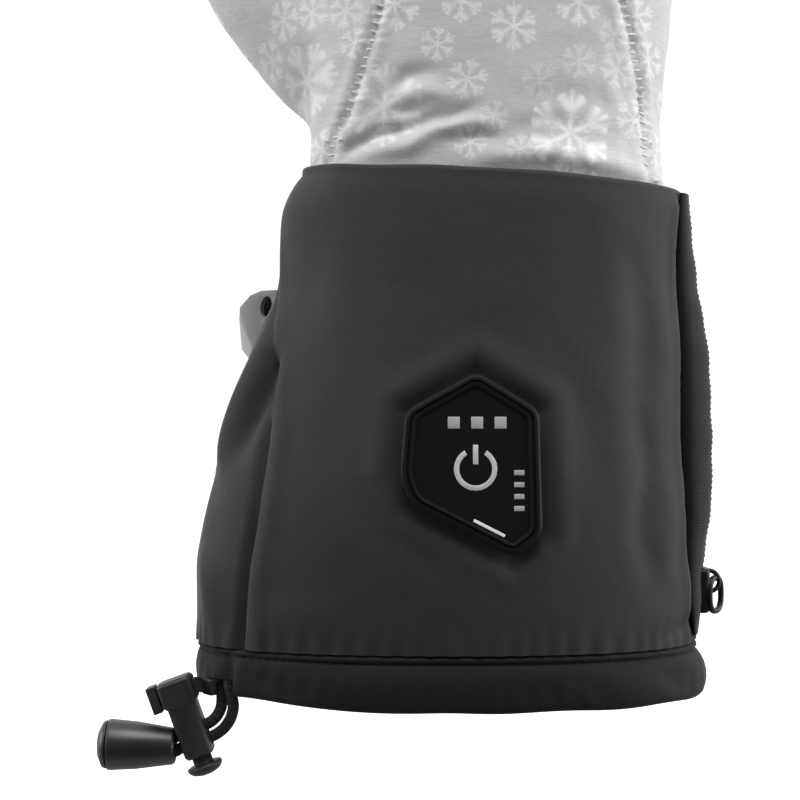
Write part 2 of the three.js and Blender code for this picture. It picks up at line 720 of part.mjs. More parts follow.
const zipRows = [
  { at: 0.0, bulge: 0.04 },
  { at: 0.06, bulge: 0.14 },
  { at: 0.15, bulge: 0.26 },
  { at: 0.22, bulge: 0.5 },
  { at: 0.31, bulge: 0.78 },
  { at: 0.45, bulge: 0.96 },
  { at: 0.62, bulge: 0.92 },
  { at: 0.72, bulge: 0.74 },
  { at: 0.82, bulge: 0.5 },
  { at: 0.91, bulge: 0.24 },
  { at: 1.0, bulge: 0.05 },
];
const zipFrontAngle = -0.33;
const zipBackAngle = 0.1;
const zipMiddleAngle = (zipFrontAngle + zipBackAngle) / 2;
const zipTop = cuffHeight - cuffTopDrop - zipTopMargin;

/** How far the tape's inner side stands off the cuff at a height and a share of its width. */
function zipStand(z, across) {
  const share = (z - zipBottomRise) / (zipTop - zipBottomRise);
  return clearance + zipBulge * readTable(zipRows, share, "bulge") * Math.sin(Math.PI * across) ** 0.7;
}

/** A point over the zip's tape: across is 0 at its front edge and 1 at its back edge. */
function overZip(z, across, height) {
  const { at, out } = cuffFrame(lerp(zipFrontAngle, zipBackAngle, across), z);
  return at.addScaledVector(out, zipStand(z, across) + height);
}

function buildZip() {
  const acrossSteps = 8;
  const shares = Array.from({ length: acrossSteps + 1 }, (_, k) => k / acrossSteps);
  const tapeRings = zipRows.map(({ at }) => {
    const z = lerp(zipBottomRise, zipTop, at);
    const inner = shares.map((s) => overZip(z, s, 0));
    const outer = shares.map((s) => overZip(z, s, zipTapeWall));
    return [...inner, ...outer.reverse()];
  });
  addPiece("zip_tape", skin(tapeRings, false).subtract(cuffBlank(clearance)), cloth.black);

  // The coil is a ribbed strip along the tape's middle
  const [low, high] = [zipBottomRise + 1, zipTop - 1];
  const ribs = Math.round((high - low) / coilPitch);
  const coilRings = [];
  for (let k = 0; k <= 2 * ribs; k++) {
    const z = lerp(low, high, k / (2 * ribs));
    const grown = k % 2 ? 1 : 0.72;
    const { out, tangent } = cuffFrame(zipMiddleAngle, z);
    const foot = overZip(z, 0.5, zipTapeWall + clearance);
    const corner = (side, up) => foot.clone().addScaledVector(tangent, side).addScaledVector(out, up);
    const half = (grown * coilWidth) / 2;
    const top = grown * coilHeight;
    coilRings.push([corner(-half, 0), corner(half, 0), corner(half, top / 2), corner(0, top), corner(-half, top / 2)]);
  }
  addPiece("zip_coil", skin(coilRings, false), cloth.black, { roughness: 0.6 });

  // The slider's own frame: x along the tape's width, y up the cuff, z out of the tape
  const { out, tangent } = cuffFrame(zipMiddleAngle, sliderRise);
  const below = overZip(sliderRise - sliderLength / 2, 0.5, zipTapeWall);
  const aboveIt = overZip(sliderRise + sliderLength / 2, 0.5, zipTapeWall);
  const up = aboveIt.clone().sub(below).normalize();
  const face = tangent.clone().cross(up).normalize();
  const seat = below.clone().add(aboveIt).divideScalar(2);
  const sagRoom = clearance + Math.max(0, overZip(sliderRise, 0.5, zipTapeWall).sub(seat).dot(face));
  const frame = new THREE.Matrix4().makeBasis(tangent, up, face).setPosition(seat);
  const inFrame = (matrix) => frame.clone().multiply(matrix);
  const shift = (x, y, z) => new THREE.Matrix4().makeTranslation(x, y, z);

  const outline = new THREE.Shape();
  const [w, l] = [sliderWidth / 2, sliderLength / 2];
  outline.moveTo(-0.7 * w, -l);
  outline.lineTo(0.7 * w, -l);
  outline.lineTo(w, 0.5 * l);
  outline.lineTo(0.6 * w, l);
  outline.lineTo(-0.6 * w, l);
  outline.lineTo(-w, 0.5 * l);
  outline.closePath();
  const bodyGeometry = new THREE.ExtrudeGeometry(outline, { depth: sliderHeight, bevelEnabled: false });
  let slider = toSolid(bodyGeometry.applyMatrix4(inFrame(shift(0, 0, sagRoom))));
  const channelWidth = coilWidth + 4 * clearance;
  const channelHeight = sagRoom + coilHeight + 3 * clearance;
  slider = slider.subtract(block(channelWidth, 2 * sliderLength, 2 * channelHeight, inFrame(shift(0, 0, 0))));

  const top = sagRoom + sliderHeight;
  const bailRise = pullerWire + 2 * clearance;
  const bailSpan = bailOpening + 2 * bailWire;
  const bailAt = 0.3 * sliderLength;
  const sunk = 0.2;
  const bailBlock = block(bailWidth, bailSpan, bailRise + bailWire + sunk, inFrame(shift(0, bailAt, top + (bailRise + bailWire - sunk) / 2)));
  const bailHole = block(2 * bailWidth, bailOpening, bailRise, inFrame(shift(0, bailAt, top + bailRise / 2)));
  addPiece("zip_slider", slider.add(bailBlock).subtract(bailHole), hard.metal, { roughness: 0.35, metalness: 0.6 });

  // The puller is a flat ring whose upper bar turns in the bail
  const ringShape = new THREE.Shape();
  const [outerHalf, innerHalf] = [pullerWidth / 2, pullerWidth / 2 - pullerWire];
  const endLine = -pullerLength + pullerWire / 2 + outerHalf;
  ringShape.moveTo(-outerHalf + 1, pullerWire / 2);
  ringShape.lineTo(outerHalf - 1, pullerWire / 2);
  ringShape.lineTo(outerHalf, -pullerWire / 2);
  ringShape.lineTo(outerHalf, endLine);
  ringShape.absarc(0, endLine, outerHalf, 0, -Math.PI, true);
  ringShape.lineTo(-outerHalf, -pullerWire / 2);
  ringShape.closePath();
  const eye = new THREE.Path();
  eye.moveTo(-innerHalf, -pullerWire / 2);
  eye.lineTo(-innerHalf, endLine);
  eye.absarc(0, endLine, innerHalf, Math.PI, 2 * Math.PI, false);
  eye.lineTo(innerHalf, -pullerWire / 2);
  eye.closePath();
  ringShape.holes.push(eye);
  const thick = pullerWire * 0.85;
  const ring = new THREE.ExtrudeGeometry(ringShape, { depth: thick, bevelEnabled: false, curveSegments: 8 });
  const barHeight = top + bailRise / 2;
  ring.applyMatrix4(inFrame(shift(0, bailAt, barHeight - thick / 2)));
  addPiece("zip_puller", toSolid(ring), hard.metal, { roughness: 0.35, metalness: 0.6 });
  return { pivot: point(0, bailAt, barHeight).applyMatrix4(frame), axis: tangent.clone().negate() };
}

// The buckle and its webbing, on the palm side of the wrist towards the thumb

const strapAngle = Math.PI - 0.7; // round the cuff, where the webbing holds the buckle
const strapEndAngle = Math.PI - 1.5;

function buildBuckle() {
  const loopWall = clearance + webbingThick;
  const barHalf = buckleBar / 2;
  const loopSide = barHalf + loopWall;
  const loopBack = buckleThick / 2 + loopWall;
  const { at, out } = cuffFrame(strapAngle, buckleRise);
  const bite = 0.6; // the webbing's loop is sewn this deep into its strap
  const stand = clearance + webbingThick - bite + loopSide * Math.abs(out.x) + loopBack * Math.abs(out.y);
  const origin = at.addScaledVector(out, stand);

  // The buckle's frame: x towards the cuff's middle, y towards the palm side, z up
  const frame = new THREE.Matrix4()
    .makeTranslation(origin.x, origin.y, origin.z)
    .multiply(new THREE.Matrix4().makeRotationZ(-THREE.MathUtils.degToRad(buckleLean)));
  const far = buckleWidth - barHalf;
  const half = buckleHeight / 2;
  const chamfer = 0.075 * buckleHeight;
  const outline = new THREE.Shape();
  outline.moveTo(barHalf, -half + chamfer);
  outline.lineTo(barHalf, half - chamfer);
  outline.lineTo(barHalf - chamfer, half);
  outline.lineTo(-0.6 * far, 0.97 * half);
  outline.lineTo(-0.88 * far, 0.76 * half);
  outline.lineTo(-0.97 * far, 0.5 * half);
  outline.lineTo(-far, -0.72 * half);
  outline.lineTo(-0.86 * far, -half);
  outline.lineTo(barHalf - chamfer, -half);
  outline.closePath();
  const slot = new THREE.Path();
  const slotHalf = webbingWidth / 2 + clearance;
  const slotFar = -loopSide - clearance;
  slot.moveTo(slotFar, -slotHalf);
  slot.lineTo(-barHalf, -slotHalf);
  slot.lineTo(-barHalf, slotHalf);
  slot.lineTo(slotFar, slotHalf);
  slot.closePath();
  outline.holes.push(slot);
  const eye = new THREE.Path();
  eye.absellipse(-0.62 * far, 0.46 * half, 0.09 * far, 0.28 * half, 0, 2 * Math.PI, false, 0.35);
  outline.holes.push(eye);
  const plate = new THREE.ExtrudeGeometry(outline, { depth: buckleThick, bevelEnabled: false, curveSegments: 10 });
  plate.rotateX(Math.PI / 2).translate(0, buckleThick / 2, 0);
  const bevel = new THREE.Matrix4()
    .makeTranslation(-far, -buckleThick / 2, -half / 2)
    .multiply(new THREE.Matrix4().makeRotationY(THREE.MathUtils.degToRad(25)))
    .multiply(new THREE.Matrix4().makeRotationZ(THREE.MathUtils.degToRad(-40)));
  const bevelBlock = block(0.3 * far, 0.75 * buckleThick, 2 * buckleHeight, frame.clone().multiply(bevel));
  addPiece("buckle", toSolid(plate.applyMatrix4(frame)).subtract(bevelBlock), hard.grey, { roughness: 0.45 });

  // The webbing: a loop round the buckle's bar, sewn to a strap along the cuff
  const ring = new THREE.Shape();
  const cut = webbingThick / 2;
  ring.moveTo(-loopSide + cut, -loopBack);
  ring.lineTo(loopSide - cut, -loopBack);
  ring.lineTo(loopSide, -loopBack + cut);
  ring.lineTo(loopSide, loopBack - cut);
  ring.lineTo(loopSide - cut, loopBack);
  ring.lineTo(-loopSide + cut, loopBack);
  ring.lineTo(-loopSide, loopBack - cut);
  ring.lineTo(-loopSide, -loopBack + cut);
  ring.closePath();
  const opening = new THREE.Path();
  const [openSide, openBack] = [loopSide - webbingThick, loopBack - webbingThick];
  opening.moveTo(-openSide, -openBack);
  opening.lineTo(-openSide, openBack);
  opening.lineTo(openSide, openBack);
  opening.lineTo(openSide, -openBack);
  opening.closePath();
  ring.holes.push(opening);
  const loop = new THREE.ExtrudeGeometry(ring, { depth: webbingWidth, bevelEnabled: false });
  loop.translate(0, 0, -webbingWidth / 2).applyMatrix4(frame);
  const [low, high] = [buckleRise - webbingWidth / 2, buckleRise + webbingWidth / 2];
  const strapRings = Array.from({ length: 11 }, (_, k) => {
    const angle = lerp(strapEndAngle, strapAngle + 0.03, k / 10);
    return [
      [low, 0],
      [low, webbingThick],
      [high, webbingThick],
      [high, 0],
    ].map(([z, thick]) => {
      const foot = cuffFrame(angle, z);
      return foot.at.addScaledVector(foot.out, clearance + thick);
    });
  });
  const strap = skin(strapRings, false);
  const webbing = toSolid(loop).add(strap).subtract(cuffBlank(clearance));
  addPiece("buckle_webbing", webbing, cloth.webbing);
  return {
    at: point(-0.5 * far, buckleThick / 2, -0.4 * half).applyMatrix4(frame),
    normal: point(0, 1, 0).applyMatrix4(new THREE.Matrix4().extractRotation(frame)),
  };
}

// The drawcord's two strands, the cord lock that they run through and the bell on their ends

function buildToggle(notchTop) {
  const shift = (x, y, z) => new THREE.Matrix4().makeTranslation(x, y, z);
  // The lock's frame: x to the right and up, y back to palm, z up the barrel
  const lock = shift(lockSide, lockFront, lockRise);
  lock.multiply(new THREE.Matrix4().makeRotationY(-THREE.MathUtils.degToRad(lockLean)));
  const inLock = (x, y, z) => point(x, y, z).applyMatrix4(lock);
  const strandStep = (cordDiameter + 1.5 * clearance) / 2;
  const slotHalf = strandStep + cordDiameter / 2 + clearance;
  const slotWidth = cordDiameter + 2 * clearance;

  // The body: a barrel with the strands' slot, and a head with the tether's slot
  const topOfBarrel = barrelAbove;
  const topOfHead = topOfBarrel + headHeight;
  const barrel = squared(
    [
      { height: -barrelBelow, width: 0.86 * barrelWidth, depth: 0.86 * barrelDepth },
      { height: 0.8 - barrelBelow, width: barrelWidth, depth: barrelDepth },
      { height: topOfBarrel + 1, width: barrelWidth, depth: barrelDepth },
    ],
    lock,
  );
  const head = squared(
    [
      { height: topOfBarrel, width: 0.84 * headWidth, depth: barrelDepth },
      { height: topOfBarrel + 0.12 * headHeight, width: headWidth, depth: barrelDepth },
      { height: topOfHead - 0.8, width: headWidth, depth: barrelDepth },
      { height: topOfHead, width: 0.86 * headWidth, depth: 0.82 * barrelDepth },
    ],
    lock,
    6,
  );
  const plungerTop = slotHalf + 1.2;
  const boreTop = plungerTop + plungerTravel + clearance;
  const bore = turned(
    [
      [-2 * barrelBelow, plungerDiameter / 2 + clearance],
      [boreTop, plungerDiameter / 2 + clearance],
    ],
    lock,
  );
  const tetherMiddle = topOfBarrel + headHeight / 2;
  const strandSlot = block(2 * barrelWidth, slotWidth, 2 * slotHalf, lock);
  const tetherSlot = block(
    2 * headWidth,
    tetherThick + 3 * clearance,
    tetherHeight + 3 * clearance,
    lock.clone().multiply(shift(0, 0, tetherMiddle)),
  );
  const body = barrel.add(head).subtract(bore).subtract(strandSlot).subtract(tetherSlot);
  addPiece("cord_lock_body", body, hard.plastic, { roughness: 0.45 });

  // The plunger: its slot leaves the strands free over its travel, and its dome hangs below
  const domeTop = -barrelBelow - plungerTravel - clearance;
  const plunger = turned(
    [
      [domeTop - domeHeight, 0.2 * domeDiameter],
      [domeTop - 0.8 * domeHeight, 0.38 * domeDiameter],
      [domeTop - 0.4 * domeHeight, 0.49 * domeDiameter],
      [domeTop - 0.12 * domeHeight, 0.5 * domeDiameter],
      [domeTop, 0.42 * domeDiameter],
      [domeTop, plungerDiameter / 2],
      [plungerTop, plungerDiameter / 2],
    ],
    lock,
  );
  const plungerSlot = block(
    2 * barrelWidth,
    slotWidth,
    2 * slotHalf + plungerTravel,
    lock.clone().multiply(shift(0, 0, -plungerTravel / 2)),
  );
  addPiece("cord_lock_plunger", plunger.subtract(plungerSlot), hard.plastic, { roughness: 0.4 });

  // The bell lies to the left of the lock, its mouth towards the strands
  const bellMiddle = inLock(-barrelWidth / 2 - 2.2, 0, -0.6);
  const bellTilt = THREE.MathUtils.degToRad(-88.5);
  const bell = shift(bellMiddle.x, bellMiddle.y, bellMiddle.z).multiply(new THREE.Matrix4().makeRotationY(bellTilt));
  const recess = bellPlugHeight - 1;
  const bellBody = turned(
    [
      [0, 0.44 * bellMouth],
      [0.6, 0.5 * bellMouth],
      [0.5 * bellLength, 0.27 * (bellMouth + bellDiameter)],
      [bellLength - bellPlugHeight - 0.8, 0.5 * bellDiameter],
      [bellLength - bellPlugHeight, 0.49 * bellDiameter],
    ],
    bell,
    16,
  );
  const socket = (side) =>
    turned(
      [
        [-1, cordDiameter / 2 + 3 * clearance],
        [1.5, cordDiameter / 2 + clearance],
        [bellFloor + clearance, cordDiameter / 2 + clearance],
      ],
      bell.clone().multiply(shift(side * strandStep, 0, 0)),
      10,
    );
  const plugSeat = turned(
    [
      [bellLength - bellPlugHeight - recess, 0.3 * bellDiameter + clearance],
      [bellLength, 0.3 * bellDiameter + clearance],
    ],
    bell,
    16,
  );
  addPiece("cord_end_bell", bellBody.subtract(socket(-1)).subtract(socket(1)).subtract(plugSeat), hard.plastic, {
    roughness: 0.3,
  });
  const plugFoot = bellLength - bellPlugHeight + clearance;
  const plug = turned(
    [
      [plugFoot - recess, 0.3 * bellDiameter],
      [plugFoot, 0.3 * bellDiameter],
      [plugFoot, 0.48 * bellDiameter],
      [plugFoot + 0.4 * bellPlugHeight, 0.44 * bellDiameter],
      [plugFoot + 0.8 * bellPlugHeight, 0.26 * bellDiameter],
      [plugFoot + 0.9 * bellPlugHeight, 0.08 * bellDiameter],
    ],
    bell,
    16,
  );
  addPiece("cord_end_plug", plug, hard.plastic, { roughness: 0.3 });

  // The strands: from the hem's notch through the lock's slot into the bell
  const strands = [
    { name: "draw_cord_front", side: -1, turn: 9.5 },
    { name: "draw_cord_rear", side: 1, turn: 5.8 },
  ];
  for (const { name, side, turn } of strands) {
    const exit = cuffFrame(cordAngle, 0);
    const start = exit.at
      .addScaledVector(exit.out, -hemBandWall / 2)
      .addScaledVector(exit.tangent, -side * ((hemNotchWidth - cordDiameter) / 2 - 2 * clearance))
      .setZ(notchTop - clearance);
    const enter = inLock(barrelWidth / 2, 0, side * strandStep);
    const leave = inLock(-barrelWidth / 2, 0, side * strandStep);
    const [bellMouthAt, bellEnter, bellEnd] = [-0.2, 2.6, bellFloor].map((along) =>
      point(side * strandStep, 0, along).applyMatrix4(bell),
    );
    const angles = [0, 0.2, 0.4, 0.6, 0.8].map((share) => (share * (90 - lockLean) * Math.PI) / 180);
    const arcSide = enter.x + turn * (Math.cos(0) - Math.cos(Math.PI / 2 - (lockLean * Math.PI) / 180));
    const arcRise = enter.z + turn * Math.sin(Math.PI / 2 - (lockLean * Math.PI) / 180);
    const arc = angles.map((angle, k) => {
      const x = arcSide - turn + turn * Math.cos(angle);
      const z = arcRise - turn * Math.sin(angle);
      const share = k / angles.length;
      return point(x, lerp(start.y, lockFront, smooth(share, 0, 0.9)), z);
    });
    const below = start.clone().setZ(start.z - cordDiameter / 2);
    const points = [start, below, ...arc, enter, leave, bellMouthAt, bellEnter, bellEnd];
    addPiece(name, swept(points, cordDiameter), hard.plastic);
  }

  // The tether: sewn on the hem beside the notch, through the head's slot to its stopper
  const rise = notchTop - clearance - tetherHeight / 2;
  const offset = clearance + tetherThick / 2;
  const tabAngles = [cordAngle - 0.02, cordAngle - 0.12];
  const tab = tabAngles.map((angle) => {
    const foot = cuffFrame(angle, 0);
    return foot.at.addScaledVector(foot.out, offset).setZ(rise);
  });
  const slotRight = inLock(headWidth / 2 + 2 * clearance, 0, tetherMiddle);
  const slotLeft = inLock(-headWidth / 2 - clearance - stopperWidth / 2, 0, tetherMiddle);
  const route = [...tab, slotRight.clone().lerp(tab[1], 0.35), slotRight, slotLeft];
  const upLock = point(0, 0, 1).applyMatrix4(new THREE.Matrix4().extractRotation(lock));
  const tetherRings = route.map((p, i) => {
    const ahead = route[Math.min(i + 1, route.length - 1)];
    const behind = route[Math.max(i - 1, 0)];
    const up = i < 2 ? point(0, 0, 1) : upLock;
    const along = (i < 3 ? ahead.clone().sub(behind) : slotLeft.clone().sub(slotRight)).normalize();
    const side = up.clone().cross(along).normalize();
    return [
      [-1, -1],
      [1, -1],
      [1, 1],
      [-1, 1],
    ].map(([a, b]) =>
      p
        .clone()
        .addScaledVector(side, (a * tetherThick) / 2)
        .addScaledVector(up, (b * tetherHeight) / 2),
    );
  });
  const stopperAt = shift(-headWidth / 2 - clearance - stopperWidth / 2, 0, tetherMiddle);
  const stopper = block(stopperWidth, stopperDepth, stopperHeight, lock.clone().multiply(stopperAt));
  addPiece("cord_lock_tether", skin(tetherRings, false).add(stopper), hard.plastic, { roughness: 0.6 });

  return { axis: inLock(0, 0, 1).sub(inLock(0, 0, 0)), centre: inLock(0, 0, 0) };
}

buildHand();
buildCuff();
const notchTop = buildHemBand();
buildControl();
const puller = buildZip();
const buckleBack = buildBuckle();
const plunger = buildToggle(notchTop);

// Where the joints turn and slide, and the buckle's flat back, for the record
export { puller, plunger, buckleBack };
export default glove;
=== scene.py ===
"""A heated winter glove for the right hand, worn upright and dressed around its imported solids.

Lengths are millimetres until they reach Blender. +Z runs from the hem to the fingertips, +X towards
the little finger and +Y towards the palm, so the front of the picture is the back of the hand.
"""

import json
import logging
import math
from dataclasses import dataclass
from enum import Enum
from typing import Any, Iterable

import bpy
import numpy as np
from mathutils import Matrix, Vector, noise
from mathutils.bvhtree import BVHTree

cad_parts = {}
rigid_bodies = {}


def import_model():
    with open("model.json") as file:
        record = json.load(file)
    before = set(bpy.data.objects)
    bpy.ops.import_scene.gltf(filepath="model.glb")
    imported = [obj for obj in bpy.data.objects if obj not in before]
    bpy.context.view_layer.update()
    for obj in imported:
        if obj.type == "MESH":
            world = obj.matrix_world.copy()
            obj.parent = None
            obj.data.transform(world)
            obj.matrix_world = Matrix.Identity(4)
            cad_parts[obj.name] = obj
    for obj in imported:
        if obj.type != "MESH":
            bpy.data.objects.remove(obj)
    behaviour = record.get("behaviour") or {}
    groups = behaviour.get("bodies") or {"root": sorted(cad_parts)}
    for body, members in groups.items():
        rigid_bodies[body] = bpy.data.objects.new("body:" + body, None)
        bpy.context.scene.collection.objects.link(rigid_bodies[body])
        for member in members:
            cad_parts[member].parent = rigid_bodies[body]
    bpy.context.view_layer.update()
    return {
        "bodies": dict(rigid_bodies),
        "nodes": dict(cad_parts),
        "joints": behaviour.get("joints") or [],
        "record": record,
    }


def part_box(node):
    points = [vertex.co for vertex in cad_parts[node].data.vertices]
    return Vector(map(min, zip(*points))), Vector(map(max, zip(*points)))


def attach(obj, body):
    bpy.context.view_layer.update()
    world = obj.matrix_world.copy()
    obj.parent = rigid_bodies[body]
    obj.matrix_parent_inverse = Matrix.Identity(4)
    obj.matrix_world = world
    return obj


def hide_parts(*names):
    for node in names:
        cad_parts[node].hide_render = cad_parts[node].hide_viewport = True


MM = 0.001
CLEARANCE = 0.3
Pair = tuple[float, float]
Triple = tuple[float, float, float]
Tone = tuple[float, float, float]
log = logging.getLogger("glove")


# Shader maths


class Wire:
    """A shader socket that Python's operators turn into Math nodes."""

    def __init__(self, sheet: "Sheet", socket: bpy.types.NodeSocket) -> None:
        """Keeps the sheet that the wire lies on and the socket that it leaves."""
        self.sheet = sheet
        self.socket = socket

    def math(self, operation: str, *others: Any) -> "Wire":
        """A Math node on this wire.

        Args:
            operation: the Math node's operation.
            others: the further inputs, wires or numbers.

        Returns:
            The node's value.
        """
        inputs = {i: value for i, value in enumerate((self, *others))}
        return self.sheet.node("ShaderNodeMath", {"operation": operation}, inputs)["Value"]

    def __add__(self, other: Any) -> "Wire":
        """The sum."""
        return self.math("ADD", other)

    __radd__ = __add__

    def __mul__(self, other: Any) -> "Wire":
        """The product."""
        return self.math("MULTIPLY", other)

    __rmul__ = __mul__

    def __sub__(self, other: Any) -> "Wire":
        """The difference."""
        return self.math("SUBTRACT", other)

    def __rsub__(self, other: Any) -> "Wire":
        """The difference from a number on the left."""
        return self.math("MULTIPLY_ADD", -1.0, other)

    def __truediv__(self, other: Any) -> "Wire":
        """The quotient."""
        return self.math("DIVIDE", other)

    def __pow__(self, power: float) -> "Wire":
        """The power."""
        return self.math("POWER", power)

    def wave(self, pitch: float) -> "Wire":
        """A sine wave that repeats at every pitch."""
        return (self * (2 * math.pi / pitch)).math("SINE")

    def within(self, low: float, high: float, start: float = 0.0, end: float = 1.0) -> "Wire":
        """A smooth step.

        Args:
            low: where the step starts.
            high: where it ends.
            start: the value before it.
            end: the value after it.

        Returns:
            The stepped value.
        """
        made = self.sheet.node(
            "ShaderNodeMapRange",
            {"interpolation_type": "SMOOTHSTEP"},
            {"Value": self, "From Min": low, "From Max": high, "To Min": start, "To Max": end},
        )
        return made["Result"]


class Sheet:
    """One material's node tree, with a Principled shader at its end."""

    def __init__(self, owner: bpy.types.Material | bpy.types.World) -> None:
        """Empties the node tree of a material or of the world."""
        owner.use_nodes = True
        self.owner = owner
        self.tree = owner.node_tree
        self.tree.nodes.clear()

    @classmethod
    def named(cls, name: str) -> "Sheet":
        """Starts a new material of that name."""
        return cls(bpy.data.materials.new(name))

    def node(self, kind: str, settings: dict[str, Any], inputs: dict[Any, Any]) -> dict[Any, Wire]:
        """Any node.

        Args:
            kind: the node's type.
            settings: its own settings, which are set first.
            inputs: values or wires by socket name or number.

        Returns:
            Its outputs by name and number.
        """
        made = self.tree.nodes.new(kind)
        for key, value in settings.items():
            setattr(made, key, value)
        for key, value in inputs.items():
            if isinstance(value, Wire):
                self.tree.links.new(value.socket, made.inputs[key])
            else:
                made.inputs[key].default_value = value
        wires = {socket.name: Wire(self, socket) for socket in made.outputs if socket.enabled}
        wires.update({i: Wire(self, socket) for i, socket in enumerate(made.outputs)})
        return wires

    def place(self, scale: float = 1000.0) -> Wire:
        """Object coordinates, in millimetres unless another scale is given."""
        found = self.node("ShaderNodeTexCoord", {}, {})["Object"]
        return self.vector("SCALE", found, scale=scale)

    def attribute(self, name: str) -> Wire:
        """A number that the piece's own points carry."""
        return self.node("ShaderNodeAttribute", {"attribute_name": name}, {})["Fac"]

    def vector(self, operation: str, first: Any, second: Any = None, scale: float | None = None) -> Wire:
        """A Vector Math node.

        Args:
            operation: its operation.
            first: a wire or three numbers.
            second: the second vector, if the operation has one.
            scale: the factor, for SCALE.

        Returns:
            The vector, or the number for LENGTH and DOT_PRODUCT.
        """
        inputs: dict[Any, Any] = {0: first}
        if second is not None:
            inputs[1] = second
        if scale is not None:
            inputs["Scale"] = scale
        made = self.node("ShaderNodeVectorMath", {"operation": operation}, inputs)
        return made["Value"] if operation in ("LENGTH", "DOT_PRODUCT") else made["Vector"]

    def parts(self, vector: Wire) -> tuple[Wire, Wire, Wire]:
        """A vector's three numbers."""
        made = self.node("ShaderNodeSeparateXYZ", {}, {0: vector})
        return made["X"], made["Y"], made["Z"]

    def joined(self, x: Any, y: Any, z: Any = 0.0) -> Wire:
        """A vector of three numbers."""
        return self.node("ShaderNodeCombineXYZ", {}, {0: x, 1: y, 2: z})["Vector"]

    def grain(self, place: Wire, scale: float, detail: float = 2.0, rough: float = 0.5) -> Wire:
        """Noise about 0.5 at a place, with this many bumps to the millimetre."""
        inputs = {"Vector": place, "Scale": scale, "Detail": detail, "Roughness": rough}
        return self.node("ShaderNodeTexNoise", {}, inputs)["Fac"]

    def mix(self, share: Any, first: Any, second: Any) -> Wire:
        """A colour between two colours, each a wire or a tone."""
        inputs = {0: share, 6: self.colour(first), 7: self.colour(second)}
        return self.node("ShaderNodeMix", {"data_type": "RGBA"}, inputs)[2]

    @staticmethod
    def colour(value: Any) -> Any:
        """A tone with its alpha, or the wire as it is."""
        return value if isinstance(value, Wire) else (*value, 1.0)

    def shaded(self, tone: Any, share: Wire) -> Wire:
        """A colour times a number."""
        inputs = {0: 1.0, 6: self.colour(tone), 7: self.joined(share, share, share)}
        return self.node("ShaderNodeMix", {"data_type": "RGBA", "blend_type": "MULTIPLY"}, inputs)[2]

    def bump(self, height: Wire, distance: float, strength: float = 1.0, under: Wire | None = None) -> Wire:
        """A normal from a height.

        Args:
            height: the height, from 0 to 1.
            distance: what 1 stands for, in millimetres.
            strength: the share of it that shows.
            under: another bump's normal, for a second layer.

        Returns:
            The normal.
        """
        inputs: dict[Any, Any] = {"Height": height, "Distance": distance * MM, "Strength": strength}
        if under is not None:
            inputs["Normal"] = under
        return self.node("ShaderNodeBump", {}, inputs)["Normal"]

    def finish(self, **sockets: Any) -> bpy.types.Material:
        """Ends the tree in a Principled shader.

        Args:
            sockets: values or wires by socket name, with _ for a space.

        Returns:
            The material.
        """
        inputs = {key.replace("_", " "): value for key, value in sockets.items()}
        inputs["Base Color"] = self.colour(inputs["Base Color"])
        made = self.node("ShaderNodeBsdfPrincipled", {}, inputs)
        self.node("ShaderNodeOutputMaterial", {}, {"Surface": made["BSDF"]})
        return self.owner


# Finishes


@dataclass(frozen=True)
class Softshell:
    """The cuff's matte charcoal softshell, with a fine woven face, a soft bloom at the edges and painted
    shade that darkens it towards the hem.
    """

    tone: Tone = (0.0315, 0.032, 0.0355)
    # Painted shade: the darker tone that the lower cuff is blended to.
    painted_shade_tone: Tone = (0.0195, 0.019, 0.023)
    weave: float = 0.55

    def material(self) -> bpy.types.Material:
        """The finish as a material."""
        sheet = Sheet.named("softshell")
        place = sheet.place()
        x, y, z = sheet.parts(place)
        weave = z.wave(self.weave) * (x + y * 0.9).wave(self.weave) * 0.25 + 0.5
        cloud = sheet.grain(place, 0.03, 3.0)
        fleck = sheet.grain(place, 1.6, 2.0)
        # Painted shade: the tone darkens towards the hem, with cloudy edges, standing in for the weaker light
        # low on the cuff.
        painted_shade_share = (z + cloud * 40.0).within(30.0, 95.0)
        tone = sheet.mix(painted_shade_share, self.painted_shade_tone, self.tone)
        tone = sheet.shaded(tone, (fleck - 0.5) * 0.5 + (cloud - 0.5) * 0.3 + 1.0)
        height = weave * 0.6 + fleck * 0.5
        soft = sheet.bump(sheet.grain(place, 0.14, 3.0), 0.5, 0.5)
        return sheet.finish(
            Base_Color=tone,
            Roughness=(cloud - 0.5) * 0.12 + 0.78,
            Sheen_Weight=0.16,
            Sheen_Roughness=0.26,
            Specular_IOR_Level=0.3,
            Normal=sheet.bump(height, 0.05, 0.6, soft),
        )


@dataclass(frozen=True)
class Flake:
    """One printed snowflake: its centre and reach in millimetres, turn in degrees, line and strength."""

    across: float
    up: float
    reach: float
    turn: float = 0.0
    bold: float = 1.0
    strength: float = 1.0


